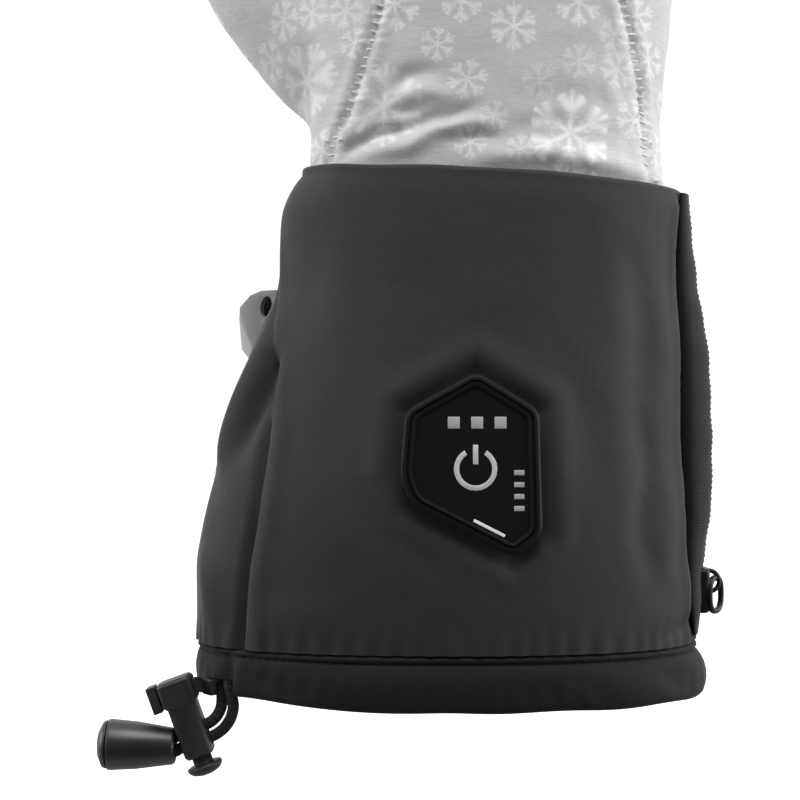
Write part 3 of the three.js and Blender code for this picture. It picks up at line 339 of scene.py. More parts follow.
@dataclass(frozen=True)
class PrintedKnit:
    """Heather-grey padded knit, printed all over with paler six-armed snowflakes."""

    ground: Tone = (0.56, 0.56, 0.555)
    paler: Tone = (0.88, 0.88, 0.872)
    repeat: Pair = (124.0, 48.0)
    course: float = 0.62
    FLAKES = (
        Flake(29.9, 146.0, 11.6, 4, 1.0, 1.0),
        Flake(-39.6, 162.2, 10.4, 28, 1.0, 0.6),
        Flake(-17.5, 153.4, 11.0, 3, 0.95, 0.6),
        Flake(15.5, 173.2, 6.5, 1, 0.95, 0.75),
        Flake(32.3, 179.9, 6.6, 0, 0.95, 0.75),
        Flake(-14.7, 179.2, 7.0, -2, 1.0, 0.8),
        Flake(2.2, 180.0, 6.0, 2, 0.95, 0.7),
        Flake(-3.9, 168.7, 4.8, 4, 0.85, 0.7),
        Flake(3.7, 159.6, 5.6, 18, 0.9, 0.7),
        Flake(32.4, 164.6, 5.0, 0, 0.85, 0.45),
        Flake(22.1, 159.2, 5.0, -10, 0.85, 0.35),
        Flake(42.6, 163.0, 5.2, 12, 0.85, 0.5),
        Flake(41.9, 172.0, 4.6, 20, 0.85, 0.4),
        Flake(47.3, 150.8, 5.6, 14, 0.85, 0.5),
        Flake(51.6, 167.0, 5.2, -8, 0.9, 0.6),
        Flake(48.0, 177.5, 5.2, 6, 0.9, 0.6),
        Flake(54.5, 143.8, 5.0, 10, 0.85, 0.5),
        Flake(10.5, 150.2, 4.4, 15, 0.85, 0.45),
        Flake(4.4, 143.6, 4.8, 0, 0.85, 0.6),
        Flake(-47.3, 178.0, 6.0, 12, 0.9, 0.6),
        Flake(-37.0, 179.4, 5.4, 2, 0.9, 0.5),
        Flake(-27.6, 178.6, 5.0, 8, 0.9, 0.5),
        Flake(-54.4, 168.4, 5.8, 20, 0.9, 0.5),
        Flake(-25.2, 169.8, 4.4, 15, 0.85, 0.55),
        Flake(-34.0, 143.4, 5.2, 10, 0.9, 0.6),
        Flake(-52.0, 148.0, 6.0, 25, 0.9, 0.6),
        Flake(60.0, 157.0, 5.0, 5, 0.85, 0.5),
        Flake(17.0, 141.6, 4.2, 8, 0.85, 0.5),
    )

    def nearest(self, sheet: Sheet, place: Wire) -> tuple[Wire, Wire]:
        """The flake that each point of the cloth belongs to.

        Args:
            sheet: the material's sheet.
            place: the point on the flat cloth, in millimetres.

        Returns:
            The point as seen from that flake's centre, in shares of its reach, and the flake's turn,
            line and strength as a vector.
        """
        half = (self.repeat[0] / 2, self.repeat[1] / 2, 1.0)
        found: Wire | None = None
        for flake in self.FLAKES:
            away = sheet.vector("SUBTRACT", place, (flake.across, flake.up, 0.0))
            made = sheet.node(
                "ShaderNodeVectorMath", {"operation": "WRAP"}, {0: away, 1: half, 2: tuple(-v for v in half)}
            )["Vector"]
            local = sheet.vector("SCALE", made, scale=1 / flake.reach)
            far = sheet.vector("LENGTH", local)
            facts = (math.radians(flake.turn), flake.bold, flake.strength)
            if found is None:
                found, least = local, far
                told = sheet.vector("ADD", facts, (0.0, 0.0, 0.0))
                continue
            closer = far.math("LESS_THAN", least)
            found = sheet.node("ShaderNodeMix", {"data_type": "VECTOR"}, {0: closer, 4: found, 5: local})[1]
            told = sheet.node("ShaderNodeMix", {"data_type": "VECTOR"}, {0: closer, 4: told, 5: facts})[1]
            least = far.math("MINIMUM", least)
        return found, told

    def flake_mask(self, sheet: Sheet, place: Wire) -> Wire:
        """1 on the printed snowflakes and 0 between them."""
        local, facts = self.nearest(sheet, place)
        turn, bold, strength = sheet.parts(facts)
        x, y, _ = sheet.parts(local)
        reach = sheet.vector("LENGTH", local)
        angle = x.math("ARCTAN2", y) - turn
        sector = angle.math("WRAP", math.pi / 6, -math.pi / 6).math("ABSOLUTE")
        out = reach * sector.math("COSINE")
        side = reach * sector.math("SINE")
        line = bold * 0.062

        def bar(start: float, lean: float, length: float, wide: float) -> Wire:
            """A bar that leaves the arm at a share of its reach and leans away from it."""
            c, s = math.cos(lean), math.sin(lean)
            along = (out - start) * c + side * s
            off = (side * c - (out - start) * s).math("ABSOLUTE")
            edge = (off / (line * wide)).within(2.1, 0.0)
            return edge * along.within(-0.03, 0.03) * along.within(length + 0.05, length - 0.03)

        arm = bar(0.0, 0.0, 0.96, 0.85)
        low = bar(0.3, math.radians(55), 0.16, 0.7)
        branch = bar(0.5, math.radians(37), 0.42, 1.5)
        leaf = (side - (out - 0.52) * 0.6).within(0.07, -0.05) * out.within(0.88, 0.68)
        shape = arm.math("MAXIMUM", low * 0.6).math("MAXIMUM", branch).math("MAXIMUM", leaf * 0.75)
        return shape * strength

    def material(self) -> bpy.types.Material:
        """The finish as a material."""
        sheet = Sheet.named("printed_knit")
        laid = sheet.node("ShaderNodeUVMap", {"uv_map": "cloth"}, {})["UV"]
        cloth = sheet.vector("SCALE", laid, scale=1000.0)
        place = sheet.place()
        u, v, _ = sheet.parts(cloth)
        streak = sheet.grain(sheet.joined(u * 0.25, v * 1.6), 1.0, 3.0, 0.6)
        fleck = sheet.grain(place, 1.3, 2.0)
        worn = sheet.grain(place, 0.35, 3.0)
        ground = sheet.shaded(self.ground, (streak - 0.5) * 0.34 + (fleck - 0.5) * 0.12 + 1.0)
        wobble = sheet.vector("SCALE", sheet.joined(fleck - 0.5, worn - 0.5), scale=1.1)
        flakes = self.flake_mask(sheet, sheet.vector("ADD", cloth, wobble))
        tone = sheet.mix(flakes * worn.within(0.3, 0.6, 0.62, 0.95), ground, self.paler)
        knit = v.wave(self.course) * 0.1 + streak * 0.6 + fleck * 0.4
        soft = sheet.bump(sheet.grain(place, 0.22, 3.0), 0.5, 0.45)
        return sheet.finish(
            Base_Color=tone,
            Roughness=0.86,
            Sheen_Weight=0.1,
            Sheen_Roughness=0.5,
            Specular_IOR_Level=0.2,
            Normal=sheet.bump(knit, 0.07, 0.6, soft),
        )


@dataclass(frozen=True)
class RibbedTape:
    """Woven tape with ribs: the hem's channel, the zip's tape and the buckle's webbing."""

    name: str
    tone: Tone
    pitch: float
    depth: float = 0.06
    lean: Triple = (0.0, 0.0, 1.0)
    fleck: float = 0.35
    stripe: float = 0.14
    # The point attribute whose distance darkens the tone as painted shadow; empty for none.
    painted_shadow_from: str = ""

    def material(self) -> bpy.types.Material:
        """The finish as a material."""
        sheet = Sheet.named(self.name)
        place = sheet.place()
        along = sheet.vector("DOT_PRODUCT", place, self.lean)
        rib = along.wave(self.pitch)
        fine = sheet.grain(place, 2.2, 2.0)
        cloud = sheet.grain(place, 0.12, 3.0)
        share = rib * self.stripe + (fine - 0.5) * self.fleck + (cloud - 0.5) * 0.4 + 1.0
        # Painted shadow: the tone falls to a quarter within 1 mm of the edge and recovers by 4.5 mm, the
        # shade cast by the cuff's turned edge.
        if self.painted_shadow_from:
            share = share * sheet.attribute(self.painted_shadow_from).within(1.0, 4.5, 0.25, 1.0)
        soft = sheet.bump(cloud, 0.5, 0.5)
        return sheet.finish(
            Base_Color=sheet.shaded(self.tone, share),
            Roughness=(fine - 0.5) * 0.2 + 0.8,
            Sheen_Weight=0.14,
            Sheen_Roughness=0.28,
            Specular_IOR_Level=0.25,
            Normal=sheet.bump(rib * 0.5 + fine * 0.6, self.depth, 0.8, soft),
        )


@dataclass(frozen=True)
class BraidedCord:
    """Black elastic cord in a round braid, read from the cord's own points."""

    tone: Tone = (0.014, 0.014, 0.015)
    strands: int = 8
    pitch: float = 3.4

    def material(self) -> bpy.types.Material:
        """The finish as a material."""
        sheet = Sheet.named("braided_cord")
        along = sheet.attribute("cord_along")
        angle = sheet.attribute("cord_east").math("ARCTAN2", sheet.attribute("cord_north"))
        turned = along * (2 * math.pi / self.pitch)
        one = (angle * (self.strands / 2) + turned).math("SINE")
        other = (angle * (self.strands / 2) - turned).math("SINE")
        braid = (one * other) * 0.5 + 0.5
        fine = sheet.grain(sheet.place(), 3.0, 2.0)
        share = braid * 0.7 + (fine - 0.5) * 0.5 + 0.6
        return sheet.finish(
            Base_Color=sheet.shaded(self.tone, share),
            Roughness=0.68,
            Sheen_Weight=0.1,
            Specular_IOR_Level=0.25,
            Normal=sheet.bump(braid + fine * 0.2, 0.16, 0.9),
        )


@dataclass(frozen=True)
class Moulded:
    """Moulded rubber or plastic with a fine spark-eroded grain, lighter along its sharp edges."""

    name: str
    tone: Tone
    rough: float
    grain: float = 2.6
    relief: float = 0.03
    coat: float = 0.0
    metallic: float = 0.0
    specular: float = 0.5

    def material(self) -> bpy.types.Material:
        """The finish as a material."""
        sheet = Sheet.named(self.name)
        place = sheet.place()
        fine = sheet.grain(place, self.grain, 3.0)
        cloud = sheet.grain(place, 0.16, 3.0)
        # Lightens the colour by up to half along sharp convex edges, where Pointiness is high.
        edge = sheet.node("ShaderNodeNewGeometry", {}, {})["Pointiness"].within(0.52, 0.6)
        share = (fine - 0.5) * 0.25 + (cloud - 0.5) * 0.25 + edge * 0.5 + 1.0
        return sheet.finish(
            Base_Color=sheet.shaded(self.tone, share),
            Roughness=(fine - 0.5) * 0.16 + (cloud - 0.5) * 0.16 + self.rough,
            Metallic=self.metallic,
            Coat_Weight=self.coat,
            Coat_Roughness=0.25,
            Specular_IOR_Level=self.specular,
            Normal=sheet.bump(fine, self.relief, 0.6),
        )


@dataclass(frozen=True)
class LightWindow:
    """A translucent grey window of the control unit, unlit, given a faint painted glow where its emission is
    set.
    """

    name: str
    tone: Tone
    painted_glow: float = 0.0

    def material(self) -> bpy.types.Material:
        """The finish as a material."""
        sheet = Sheet.named(self.name)
        place = sheet.place()
        milky = sheet.grain(place, 0.9, 2.0)
        return sheet.finish(
            Base_Color=sheet.shaded(self.tone, (milky - 0.5) * 0.2 + 1.0),
            Roughness=(milky - 0.5) * 0.1 + 0.35,
            # Painted glow: emission on an unlit window.
            Emission_Color=(*self.tone, 1.0),
            Emission_Strength=self.painted_glow,
            Specular_IOR_Level=0.4,
            Normal=sheet.bump(sheet.grain(place, 3.0, 2.0), 0.02, 0.5),
        )


class Finishes:
    """Every finish of the glove, made once."""

    def __init__(self) -> None:
        """Makes the materials."""
        self.print_cloth = PrintedKnit().material()
        self.softshell = Softshell().material()
        tapes = (
            RibbedTape("hem_cloth", (0.0078, 0.0078, 0.0082), 0.5, 0.014, stripe=0.0),
            RibbedTape(
                # The zip tape gets painted shadow along its front edge.
                "zip_cloth", (0.0175, 0.0173, 0.0153), 0.7, 0.05, stripe=0.06, painted_shadow_from="from_edge"
            ),
            RibbedTape("zip_edge", (0.008, 0.008, 0.0085), 0.5, 0.04),
            RibbedTape("webbing", (0.02, 0.02, 0.021), 1.3, 0.14),
        )
        self.hem_cloth, self.zip_cloth, self.zip_edge, self.webbing = (tape.material() for tape in tapes)
        self.cord = BraidedCord().material()
        rubbers = (
            Moulded("control_rubber", (0.0062, 0.0062, 0.0068), 0.62, 3.2, 0.02, specular=0.1),
            Moulded("control_rim", (0.0075, 0.0075, 0.0083), 0.5, 3.2, 0.015, specular=0.14),
        )
        self.rubber, self.rim = (rubber.material() for rubber in rubbers)
        windows = (
            LightWindow("window", (0.42, 0.42, 0.425)),
            LightWindow("mark", (0.58, 0.58, 0.585)),
            # The light bar's 0.1 emission is painted glow; the bar is unlit.
            LightWindow("light_bar", (0.75, 0.75, 0.75), 0.1),
        )
        self.window, self.mark, self.light_bar = (window.material() for window in windows)
        moulded = (
            Moulded("black_plastic", (0.021, 0.021, 0.0215), 0.42, 2.4, 0.02, specular=0.4),
            Moulded("bell_plastic", (0.0105, 0.0105, 0.011), 0.36, 2.0, 0.012, specular=0.7),
            Moulded("grey_plastic", (0.33, 0.33, 0.32), 0.45, 2.6, 0.03),
            Moulded("dark_metal", (0.016, 0.016, 0.018), 0.34, 1.6, 0.02, metallic=0.3, specular=0.3),
        )
        self.black_plastic, self.bell_plastic, self.grey_plastic, self.metal = (m.material() for m in moulded)
        threads = (
            RibbedTape("thread", (0.72, 0.72, 0.71), 0.35, 0.05),
            RibbedTape("black_thread", (0.011, 0.011, 0.012), 0.35, 0.05),
        )
        self.thread, self.black_thread = (thread.material() for thread in threads)


# Modelling


class Bench:
    """The modelling operators, as they are used on every piece."""

    nodes: dict[str, bpy.types.Object] = {}

    @staticmethod
    def rest() -> None:
        """Leaves edit mode and deselects everything."""
        if bpy.context.object is not None and bpy.context.mode != "OBJECT":
            bpy.ops.object.mode_set(mode="OBJECT")
        bpy.ops.object.select_all(action="DESELECT")

    @classmethod
    def take(cls, piece: bpy.types.Object) -> bpy.types.Object:
        """Makes a piece the only selected and the active one."""
        cls.rest()
        piece.select_set(True)
        bpy.context.view_layer.objects.active = piece
        return piece

    @classmethod
    def edit(cls, piece: bpy.types.Object, action: str = "SELECT") -> None:
        """Opens a piece in edit mode with all or none of it selected."""
        cls.take(piece)
        bpy.ops.object.mode_set(mode="EDIT")
        bpy.ops.mesh.select_all(action=action)

    @classmethod
    def copy_of(cls, name: str, *nodes: str) -> bpy.types.Object:
        """One new piece from copies of CAD nodes, with their shared points merged.

        Args:
            name: the new piece's name.
            nodes: the CAD nodes.

        Returns:
            The piece.
        """
        copies = []
        for node in nodes:
            copy = bpy.data.objects.new(name, cls.nodes[node].data.copy())
            bpy.context.scene.collection.objects.link(copy)
            copies.append(copy)
        cls.rest()
        for copy in copies:
            copy.select_set(True)
        bpy.context.view_layer.objects.active = copies[0]
        if len(copies) > 1:
            bpy.ops.object.join()
        piece = cls.named(name)
        piece.data.materials.clear()
        cls.edit(piece)
        bpy.ops.mesh.remove_doubles(threshold=0.02 * MM)
        cls.rest()
        return piece

    @classmethod
    def modify(cls, piece: bpy.types.Object, kind: str, **settings: Any) -> bpy.types.Object:
        """Adds one modifier and applies it.

        Args:
            piece: the piece.
            kind: the modifier's type.
            settings: its settings.

        Returns:
            The same piece.
        """
        cls.take(piece)
        modifier = piece.modifiers.new(kind.lower(), kind)
        for key, value in settings.items():
            setattr(modifier, key, value)
        bpy.ops.object.modifier_apply(modifier=modifier.name)
        return piece

    @classmethod
    def eased(cls, piece: bpy.types.Object, width: float, segments: int = 3) -> bpy.types.Object:
        """Merges flat faces, rounds the sharp edges and shades the rest smooth.

        Args:
            piece: the piece.
            width: the rounding, in millimetres.
            segments: how many faces the rounding has.

        Returns:
            The same piece.
        """
        cls.edit(piece)
        bpy.ops.mesh.dissolve_limited(angle_limit=math.radians(1.0))
        cls.rest()
        cls.modify(
            piece,
            "BEVEL",
            width=width * MM,
            segments=segments,
            limit_method="ANGLE",
            angle_limit=math.radians(28.0),
            use_clamp_overlap=True,
        )
        return cls.smooth(piece, 40.0)

    @classmethod
    def smooth(cls, piece: bpy.types.Object, angle: float = 40.0) -> bpy.types.Object:
        """Shades a piece smooth up to an angle."""
        cls.take(piece)
        bpy.ops.object.shade_smooth_by_angle(angle=math.radians(angle))
        return piece

    @classmethod
    def loft(cls, name: str, rings: np.ndarray, joined: bool) -> bpy.types.Object:
        """A skin over rings of points, from a grid that is wrapped round and sewn up.

        Args:
            name: the piece's name.
            rings: points by ring and place on the ring, in millimetres.
            joined: True if the last ring meets the first; otherwise both ends are capped.

        Returns:
            The piece.
        """
        rows, around = rings.shape[:2]
        spans = rows if joined else rows - 1
        cls.rest()
        bpy.ops.mesh.primitive_grid_add(x_subdivisions=around, y_subdivisions=spans, size=2)
        piece = cls.named(name)
        flat = cls.points(piece)
        column = np.rint((flat[:, 0] + 1) / 2 * around).astype(int) % around
        row = np.rint((flat[:, 1] + 1) / 2 * spans).astype(int)
        cls.put(piece, rings[row % rows if joined else row, column] * MM)
        cls.edit(piece)
        bpy.ops.mesh.remove_doubles(threshold=1e-7)
        if not joined:
            bpy.ops.mesh.select_all(action="DESELECT")
            bpy.ops.mesh.select_non_manifold()
            bpy.ops.mesh.fill_holes(sides=0)
        bpy.ops.mesh.select_all(action="SELECT")
        bpy.ops.mesh.normals_make_consistent(inside=False)
        cls.rest()
        return piece

    @staticmethod
    def points(piece: bpy.types.Object) -> np.ndarray:
        """A mesh's points, in metres."""
        flat = np.zeros(len(piece.data.vertices) * 3, np.float64)
        piece.data.vertices.foreach_get("co", flat)
        return flat.reshape(-1, 3)

    @staticmethod
    def normals(piece: bpy.types.Object) -> np.ndarray:
        """A mesh's point normals."""
        flat = np.zeros(len(piece.data.vertices) * 3, np.float32)
        piece.data.vertices.foreach_get("normal", flat)
        return flat.reshape(-1, 3).astype(np.float64)

    @staticmethod
    def put(piece: bpy.types.Object, points: np.ndarray) -> None:
        """Moves a mesh's points, in metres."""
        piece.data.vertices.foreach_set("co", points.astype(np.float32).ravel())
        piece.data.update()

    @staticmethod
    def carry(piece: bpy.types.Object, name: str, numbers: np.ndarray) -> None:
        """Stores one number for each point of a mesh."""
        made = piece.data.attributes.new(name, "FLOAT", "POINT")
        made.data.foreach_set("value", numbers.astype(np.float32))

    @staticmethod
    def named(name: str) -> bpy.types.Object:
        """The piece that an operator has just made, with its name."""
        piece = bpy.context.object
        piece.name = piece.data.name = name
        return piece

    @classmethod
    def cut(cls, piece: bpy.types.Object, place: Matrix, size: Triple, around: int = 4) -> None:
        """Cuts a block out of a piece, or a round plug if it has more than four sides.

        Args:
            piece: the piece.
            place: the cutter's frame, in the piece's own units.
            size: the cutter's size in that frame.
            around: the number of sides.
        """
        cls.rest()
        if around == 4:
            bpy.ops.mesh.primitive_cube_add(size=1)
        else:
            turn = (math.pi / 2, 0, 0)
            bpy.ops.mesh.primitive_cylinder_add(vertices=around, radius=0.5, depth=1, rotation=turn)
            bpy.ops.object.transform_apply(location=False, rotation=True, scale=False)
        cutter = bpy.context.object
        cutter.data.transform(place @ Matrix.Diagonal((*size, 1)))
        cls.modify(piece, "BOOLEAN", operation="DIFFERENCE", object=cutter, solver="EXACT")
        bpy.data.objects.remove(cutter)

    @staticmethod
    def dress(
        piece: bpy.types.Object, finish: bpy.types.Material, slot: str, *nodes: str, body: str = "glove"
    ) -> bpy.types.Object:
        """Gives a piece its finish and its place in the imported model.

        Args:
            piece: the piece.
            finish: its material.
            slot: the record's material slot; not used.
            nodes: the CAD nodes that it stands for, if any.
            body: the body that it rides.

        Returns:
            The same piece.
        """
        piece.data.materials.append(finish)
        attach(piece, body)
        if nodes:
            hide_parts(*nodes)
        return piece


class Fold(Enum):
    """How a line is pressed into the cloth."""

    RIDGE = 1.0
    VALLEY = -1.0


@dataclass(frozen=True)
class Crease:
    """A soft fold along a line, seen from the front."""

    line: tuple[Pair, ...]
    height: float
    width: float
    fold: Fold = Fold.RIDGE

    def relief(self, x: np.ndarray, z: np.ndarray) -> np.ndarray:
        """The fold's height over points of the front view, fading out at the line's ends."""
        best = np.full(x.shape, 1e9)
        shade = np.zeros(x.shape)
        total = sum(math.dist(a, b) for a, b in zip(self.line, self.line[1:]))
        gone = 0.0
        for a, b in zip(self.line, self.line[1:]):
            run = math.dist(a, b)
            way = ((b[0] - a[0]) / run, (b[1] - a[1]) / run)
            along = np.clip((x - a[0]) * way[0] + (z - a[1]) * way[1], 0, run)
            far = np.hypot(x - a[0] - along * way[0], z - a[1] - along * way[1])
            share = (gone + along) / total
            ease = np.clip(np.sin(np.pi * np.clip(share, 0.02, 0.98)), 0, 1) ** 0.6
            here = np.exp(-((far / self.width) ** 2)) * ease
            closer = far < best
            shade = np.where(closer, here, shade)
            best = np.where(closer, far, best)
            gone += run
        return self.fold.value * self.height * shade


def cloth_noise(points: np.ndarray, size: float, seed: float) -> np.ndarray:
    """Smooth noise about 0 over points.

    Args:
        points: the points, in millimetres.
        size: the size of one bump, in millimetres.
        seed: moves the pattern.

    Returns:
        One number for each point, from about -1 to 1.
    """
    flat = points.reshape(-1, 3) / size
    found = [noise.noise(Vector((p[0] + seed, p[1] - seed, p[2] + 0.5 * seed))) for p in flat]
    return np.array(found).reshape(points.shape[:-1])


# The cuff's outer form, which the hem, zip, buckle and control unit are laid on


@dataclass(frozen=True)
class CuffForm:
    """The cuff's outer surface as rounded ovals, from the hem to the wrist."""

    hem_width: float = 136.0
    hem_depth: float = 84.0
    height: float = 138.0
    top_left: float = -43.5
    top_right: float = 62.5
    top_depth: float = 34.0
    square: float = 2.35
    top_drop: float = 4.5
    wrist_width: float = 96.0
    wrist_depth: float = 58.0
    wrist_shift: float = 9.5
    wrist_square: float = 2.3
    dense: int = 1441
    at: tuple[float, ...] = (0.0, 0.09, 0.25, 0.34, 0.42, 0.51, 0.6, 0.68, 0.77, 0.88, 0.965, 1.0)
    left: tuple[float, ...] = (0.0, 0.01, 0.0, 0.08, 0.19, 0.34, 0.49, 0.65, 0.88, 0.95, 1.02, 1.12)
    right: tuple[float, ...] = (0.0, 0.4, 0.66, 0.72, 0.84, 0.98, 1.02, 1.06, 1.24, 1.16, 1.04, 1.12)
    depth: tuple[float, ...] = (0.0, 0.04, 0.14, 0.24, 0.36, 0.52, 0.7, 0.84, 0.92, 0.96, 1.0, 1.16)
    seam: tuple[float, ...] = (0.7, 0.7, 0.745, 0.755, 0.735, 0.69, 0.595, 0.46, 0.2, 0.04, 0.0, 0.0)

    def read(self, column: tuple[float, ...], z: float, soft: float = 2.5) -> float:
        """A column of the table at a height, eased over a few millimetres."""
        near = np.linspace(-2, 2, 9) * soft
        weights = np.exp(-0.5 * (near / soft) ** 2)
        shares = np.clip((z + near) / self.height, 0, 1)
        return float(np.sum(np.interp(shares, self.at, column) * weights) / np.sum(weights))

    def oval(self, z: float, angles: np.ndarray) -> np.ndarray:
        """Points round the cuff at a height, by angle, as x and y."""
        half = self.hem_width / 2
        depth = self.hem_depth / 2 + (self.top_depth - self.hem_depth / 2) * self.read(self.depth, z)
        left = -half + (self.top_left + half) * self.read(self.left, z)
        right = half + (self.top_right - half) * self.read(self.right, z)
        c, s = np.cos(angles), np.sin(angles)
        power = 2 / self.square
        x = (left + right) / 2 + (right - left) / 2 * np.sign(c) * np.abs(c) ** power
        return np.stack([x, depth * np.sign(s) * np.abs(s) ** power], axis=-1)

    def ring(self, z: float, around: int, out: float = 0.0, start: float | None = None) -> np.ndarray:
        """Evenly spaced points round the cuff at a height.

        Args:
            z: the height.
            around: how many points.
            out: how far off the surface they stand.
            start: the first point's angle, or None for the thumb-side seam.

        Returns:
            The points, with x, y and z.
        """
        first = math.pi + self.read(self.seam, z) if start is None else start
        return self.evened(self.oval(z, first + np.linspace(0, 2 * math.pi, self.dense)), z, around, out)

    def evened(self, line: np.ndarray, z: float, around: int, out: float) -> np.ndarray:
        """Evenly spaced points of a closed line.

        Args:
            line: the line as x and y, its last point on its first one.
            z: its height.
            around: how many points.
            out: how far off the line they stand.

        Returns:
            The points, with x, y and z.
        """
        gone = np.concatenate([[0], np.cumsum(np.hypot(*np.diff(line, axis=0).T))])
        want = np.linspace(0, gone[-1], around, endpoint=False)
        ring = np.stack([np.interp(want, gone, line[:, i]) for i in (0, 1)], axis=-1)
        return np.column_stack([ring + out * self.outward(ring), np.full(around, z)])

    @staticmethod
    def outward(ring: np.ndarray) -> np.ndarray:
        """The level outward normals of a closed ring that runs anticlockwise."""
        ahead = np.roll(ring, -1, axis=0) - np.roll(ring, 1, axis=0)
        ahead /= np.hypot(ahead[:, 0], ahead[:, 1])[:, None]
        return np.column_stack([ahead[:, 1], -ahead[:, 0]])

    def wrist_ring(self, z: float, around: int, out: float) -> np.ndarray:
        """Points round the hand shell's wrist, from the thumb side, evenly spaced."""
        angles = math.pi + np.linspace(0, 2 * math.pi, self.dense)
        c, s = np.cos(angles), np.sin(angles)
        power = 2 / self.wrist_square
        x = self.wrist_shift + self.wrist_width / 2 * np.sign(c) * np.abs(c) ** power
        y = self.wrist_depth / 2 * np.sign(s) * np.abs(s) ** power
        return self.evened(np.column_stack([x, y]), z, around, out)

    def dip(self, x: np.ndarray) -> np.ndarray:
        """How far the upper edge dips towards the zip."""
        share = np.clip((x + 18.0) / (self.top_right + 10.0), 0, 1)
        rise = np.clip((-16.0 - x) / 26.0, 0, 1)
        return 0.95 * self.top_drop * share ** 1.4 - 2.3 * rise ** 1.5

    def frame(self, angle: float, z: float) -> tuple[Vector, Vector, Vector]:
        """A point of the surface by angle and height, with the tangent and outward normal there."""
        here, ahead, behind = (self.oval(z, np.array([angle + step]))[0] for step in (0, 0.01, -0.01))
        tangent = Vector((*(ahead - behind), 0)).normalized()
        return Vector((*here, z)), tangent, Vector((tangent.y, -tangent.x, 0))


FORM = CuffForm()


@dataclass
class Cuff:
    """The long softshell cuff: a side panel and a main panel that meet in a pressed seam."""

    finishes: Finishes
    around: int = 288
    wall: float = 3.2
    start: float = 14.3
    step: float = 1.5
    roll: float = 6.0
    crisp: float = 2.2
    seam_depth: float = 1.9
    creases: tuple[Crease, ...] = (
        Crease(((-47.0, 97.0), (-51.0, 86.0), (-55.5, 74.0), (-61.0, 60.0)), 2.6, 2.3),
        Crease(((-44.6, 92.0), (-47.2, 84.0), (-51.0, 74.0), (-55.5, 62.0)), 2.4, 1.8, Fold.VALLEY),
        Crease(((-60.0, 62.0), (-61.5, 48.0), (-60.0, 34.0)), 0.8, 3.6, Fold.VALLEY),
        Crease(((-64.5, 40.0), (-62.0, 28.0), (-61.0, 18.0)), 0.9, 2.6),
        Crease(((46.5, 118.0), (49.0, 96.0), (47.5, 76.0)), 0.9, 4.2, Fold.VALLEY),
        Crease(((47.5, 78.0), (50.5, 60.0), (48.0, 44.0), (52.0, 30.0)), 1.2, 3.4, Fold.VALLEY),
        Crease(((54.0, 108.0), (56.0, 88.0), (54.5, 70.0)), 0.7, 3.4),
        Crease(((55.5, 60.0), (56.5, 46.0), (54.0, 30.0)), 0.8, 2.8),
        Crease(((-52.0, 20.0), (-42.0, 24.0), (-26.0, 26.0)), 0.3, 4.6),
        Crease(((50.0, 18.0), (58.0, 25.0), (62.0, 36.0)), 0.6, 3.2),
        Crease(((54.0, 17.0), (60.0, 19.5), (66.0, 22.0)), 0.7, 1.6, Fold.VALLEY),
        Crease(((-38.0, 128.0), (-36.0, 112.0), (-38.0, 92.0)), 0.5, 4.5, Fold.VALLEY),
        Crease(((-24.0, 60.0), (-14.0, 46.0), (-4.0, 34.0)), 0.5, 5.0, Fold.VALLEY),
        Crease(((26.0, 92.0), (34.0, 74.0), (36.0, 52.0)), 0.5, 5.0, Fold.VALLEY),
    )

    def relief(self, ring: np.ndarray) -> np.ndarray:
        """How far the cloth stands off its smooth form along one ring.

        Args:
            ring: the ring's points from the seam on.

        Returns:
            One distance for each point.
        """
        x, y, z = ring.T
        step = np.hypot(*(ring[1, :2] - ring[0, :2]))
        count = len(ring)
        away = np.arange(count) * step
        away = np.where(np.arange(count) > count / 2, away - count * step, away)
        pressed = 1 - np.clip((z - 116) / 16, 0, 1)
        seam = -self.seam_depth * np.exp(-((away / 1.5) ** 2))
        panel_edge = 0.75 * np.exp(-(((away - 4.2) / 2.6) ** 2))
        side_bulge = 1.0 * np.exp(-(((away + 12.0) / 8.0) ** 2)) * np.clip((60 - np.abs(z - 45)) / 40, 0, 1)
        front = np.clip((4 - y) / 9, 0, 1)
        folds = 1.3 * sum(crease.relief(x, z) for crease in self.creases) * front
        points = np.column_stack([x, y, z])
        soft = 0.45 * cloth_noise(points, 34.0, 3.0) + 0.22 * cloth_noise(points, 13.0, 8.0)
        held = np.exp(-(((z - self.start) / 5.0) ** 2))
        gathers = held * 0.3 * np.sin(away * 1.15 + 3 * cloth_noise(points, 18.0, 5.0))
        press = ControlUnit.press(x, z) * (y < 0)
        thumb_side = np.clip((-30 - x) / 8, 0, 1)
        bulge = 0.9 * np.exp(-(((z - 126) / 7) ** 2))
        corner = thumb_side * (bulge - 2.2 * np.clip((z - 126) / 10, 0, 1) ** 1.6)
        relief = (seam + panel_edge) * pressed + side_bulge + folds + soft + gathers + press
        return relief + corner + self.zip_lip(ring)

    @staticmethod
    def zip_lip(ring: np.ndarray) -> np.ndarray:
        """The turned cloth edge that stands up in front of the zip's tape, along one ring."""
        z = float(ring[0, 2])
        if not BatteryZip.BOTTOM - 2 < z < FORM.height - 5:
            return np.zeros(len(ring))
        edge = FORM.oval(z, np.array([BatteryZip.FRONT]))[0]
        far = np.hypot(ring[:, 0] - edge[0], ring[:, 1] - edge[1])
        far = np.where(ring[:, 1] < edge[1], far, -far)
        lip = 1.0 * np.exp(-(((far - 2.6) / 1.7) ** 2))
        under = np.where(ring[:, 0] > 0, -0.5 * np.exp(-(((far + 1.0) / 1.4) ** 2)), 0.0)
        ease = min(1.0, (z - BatteryZip.BOTTOM + 2) / 6)
        return (lip + under) * ease

    def cloth_ring(self, z: float) -> np.ndarray:
        """One ring of the outer cloth at a height."""
        ring = FORM.ring(z, self.around)
        ring[:, :2] += self.relief(ring)[:, None] * FORM.outward(ring[:, :2])
        return ring

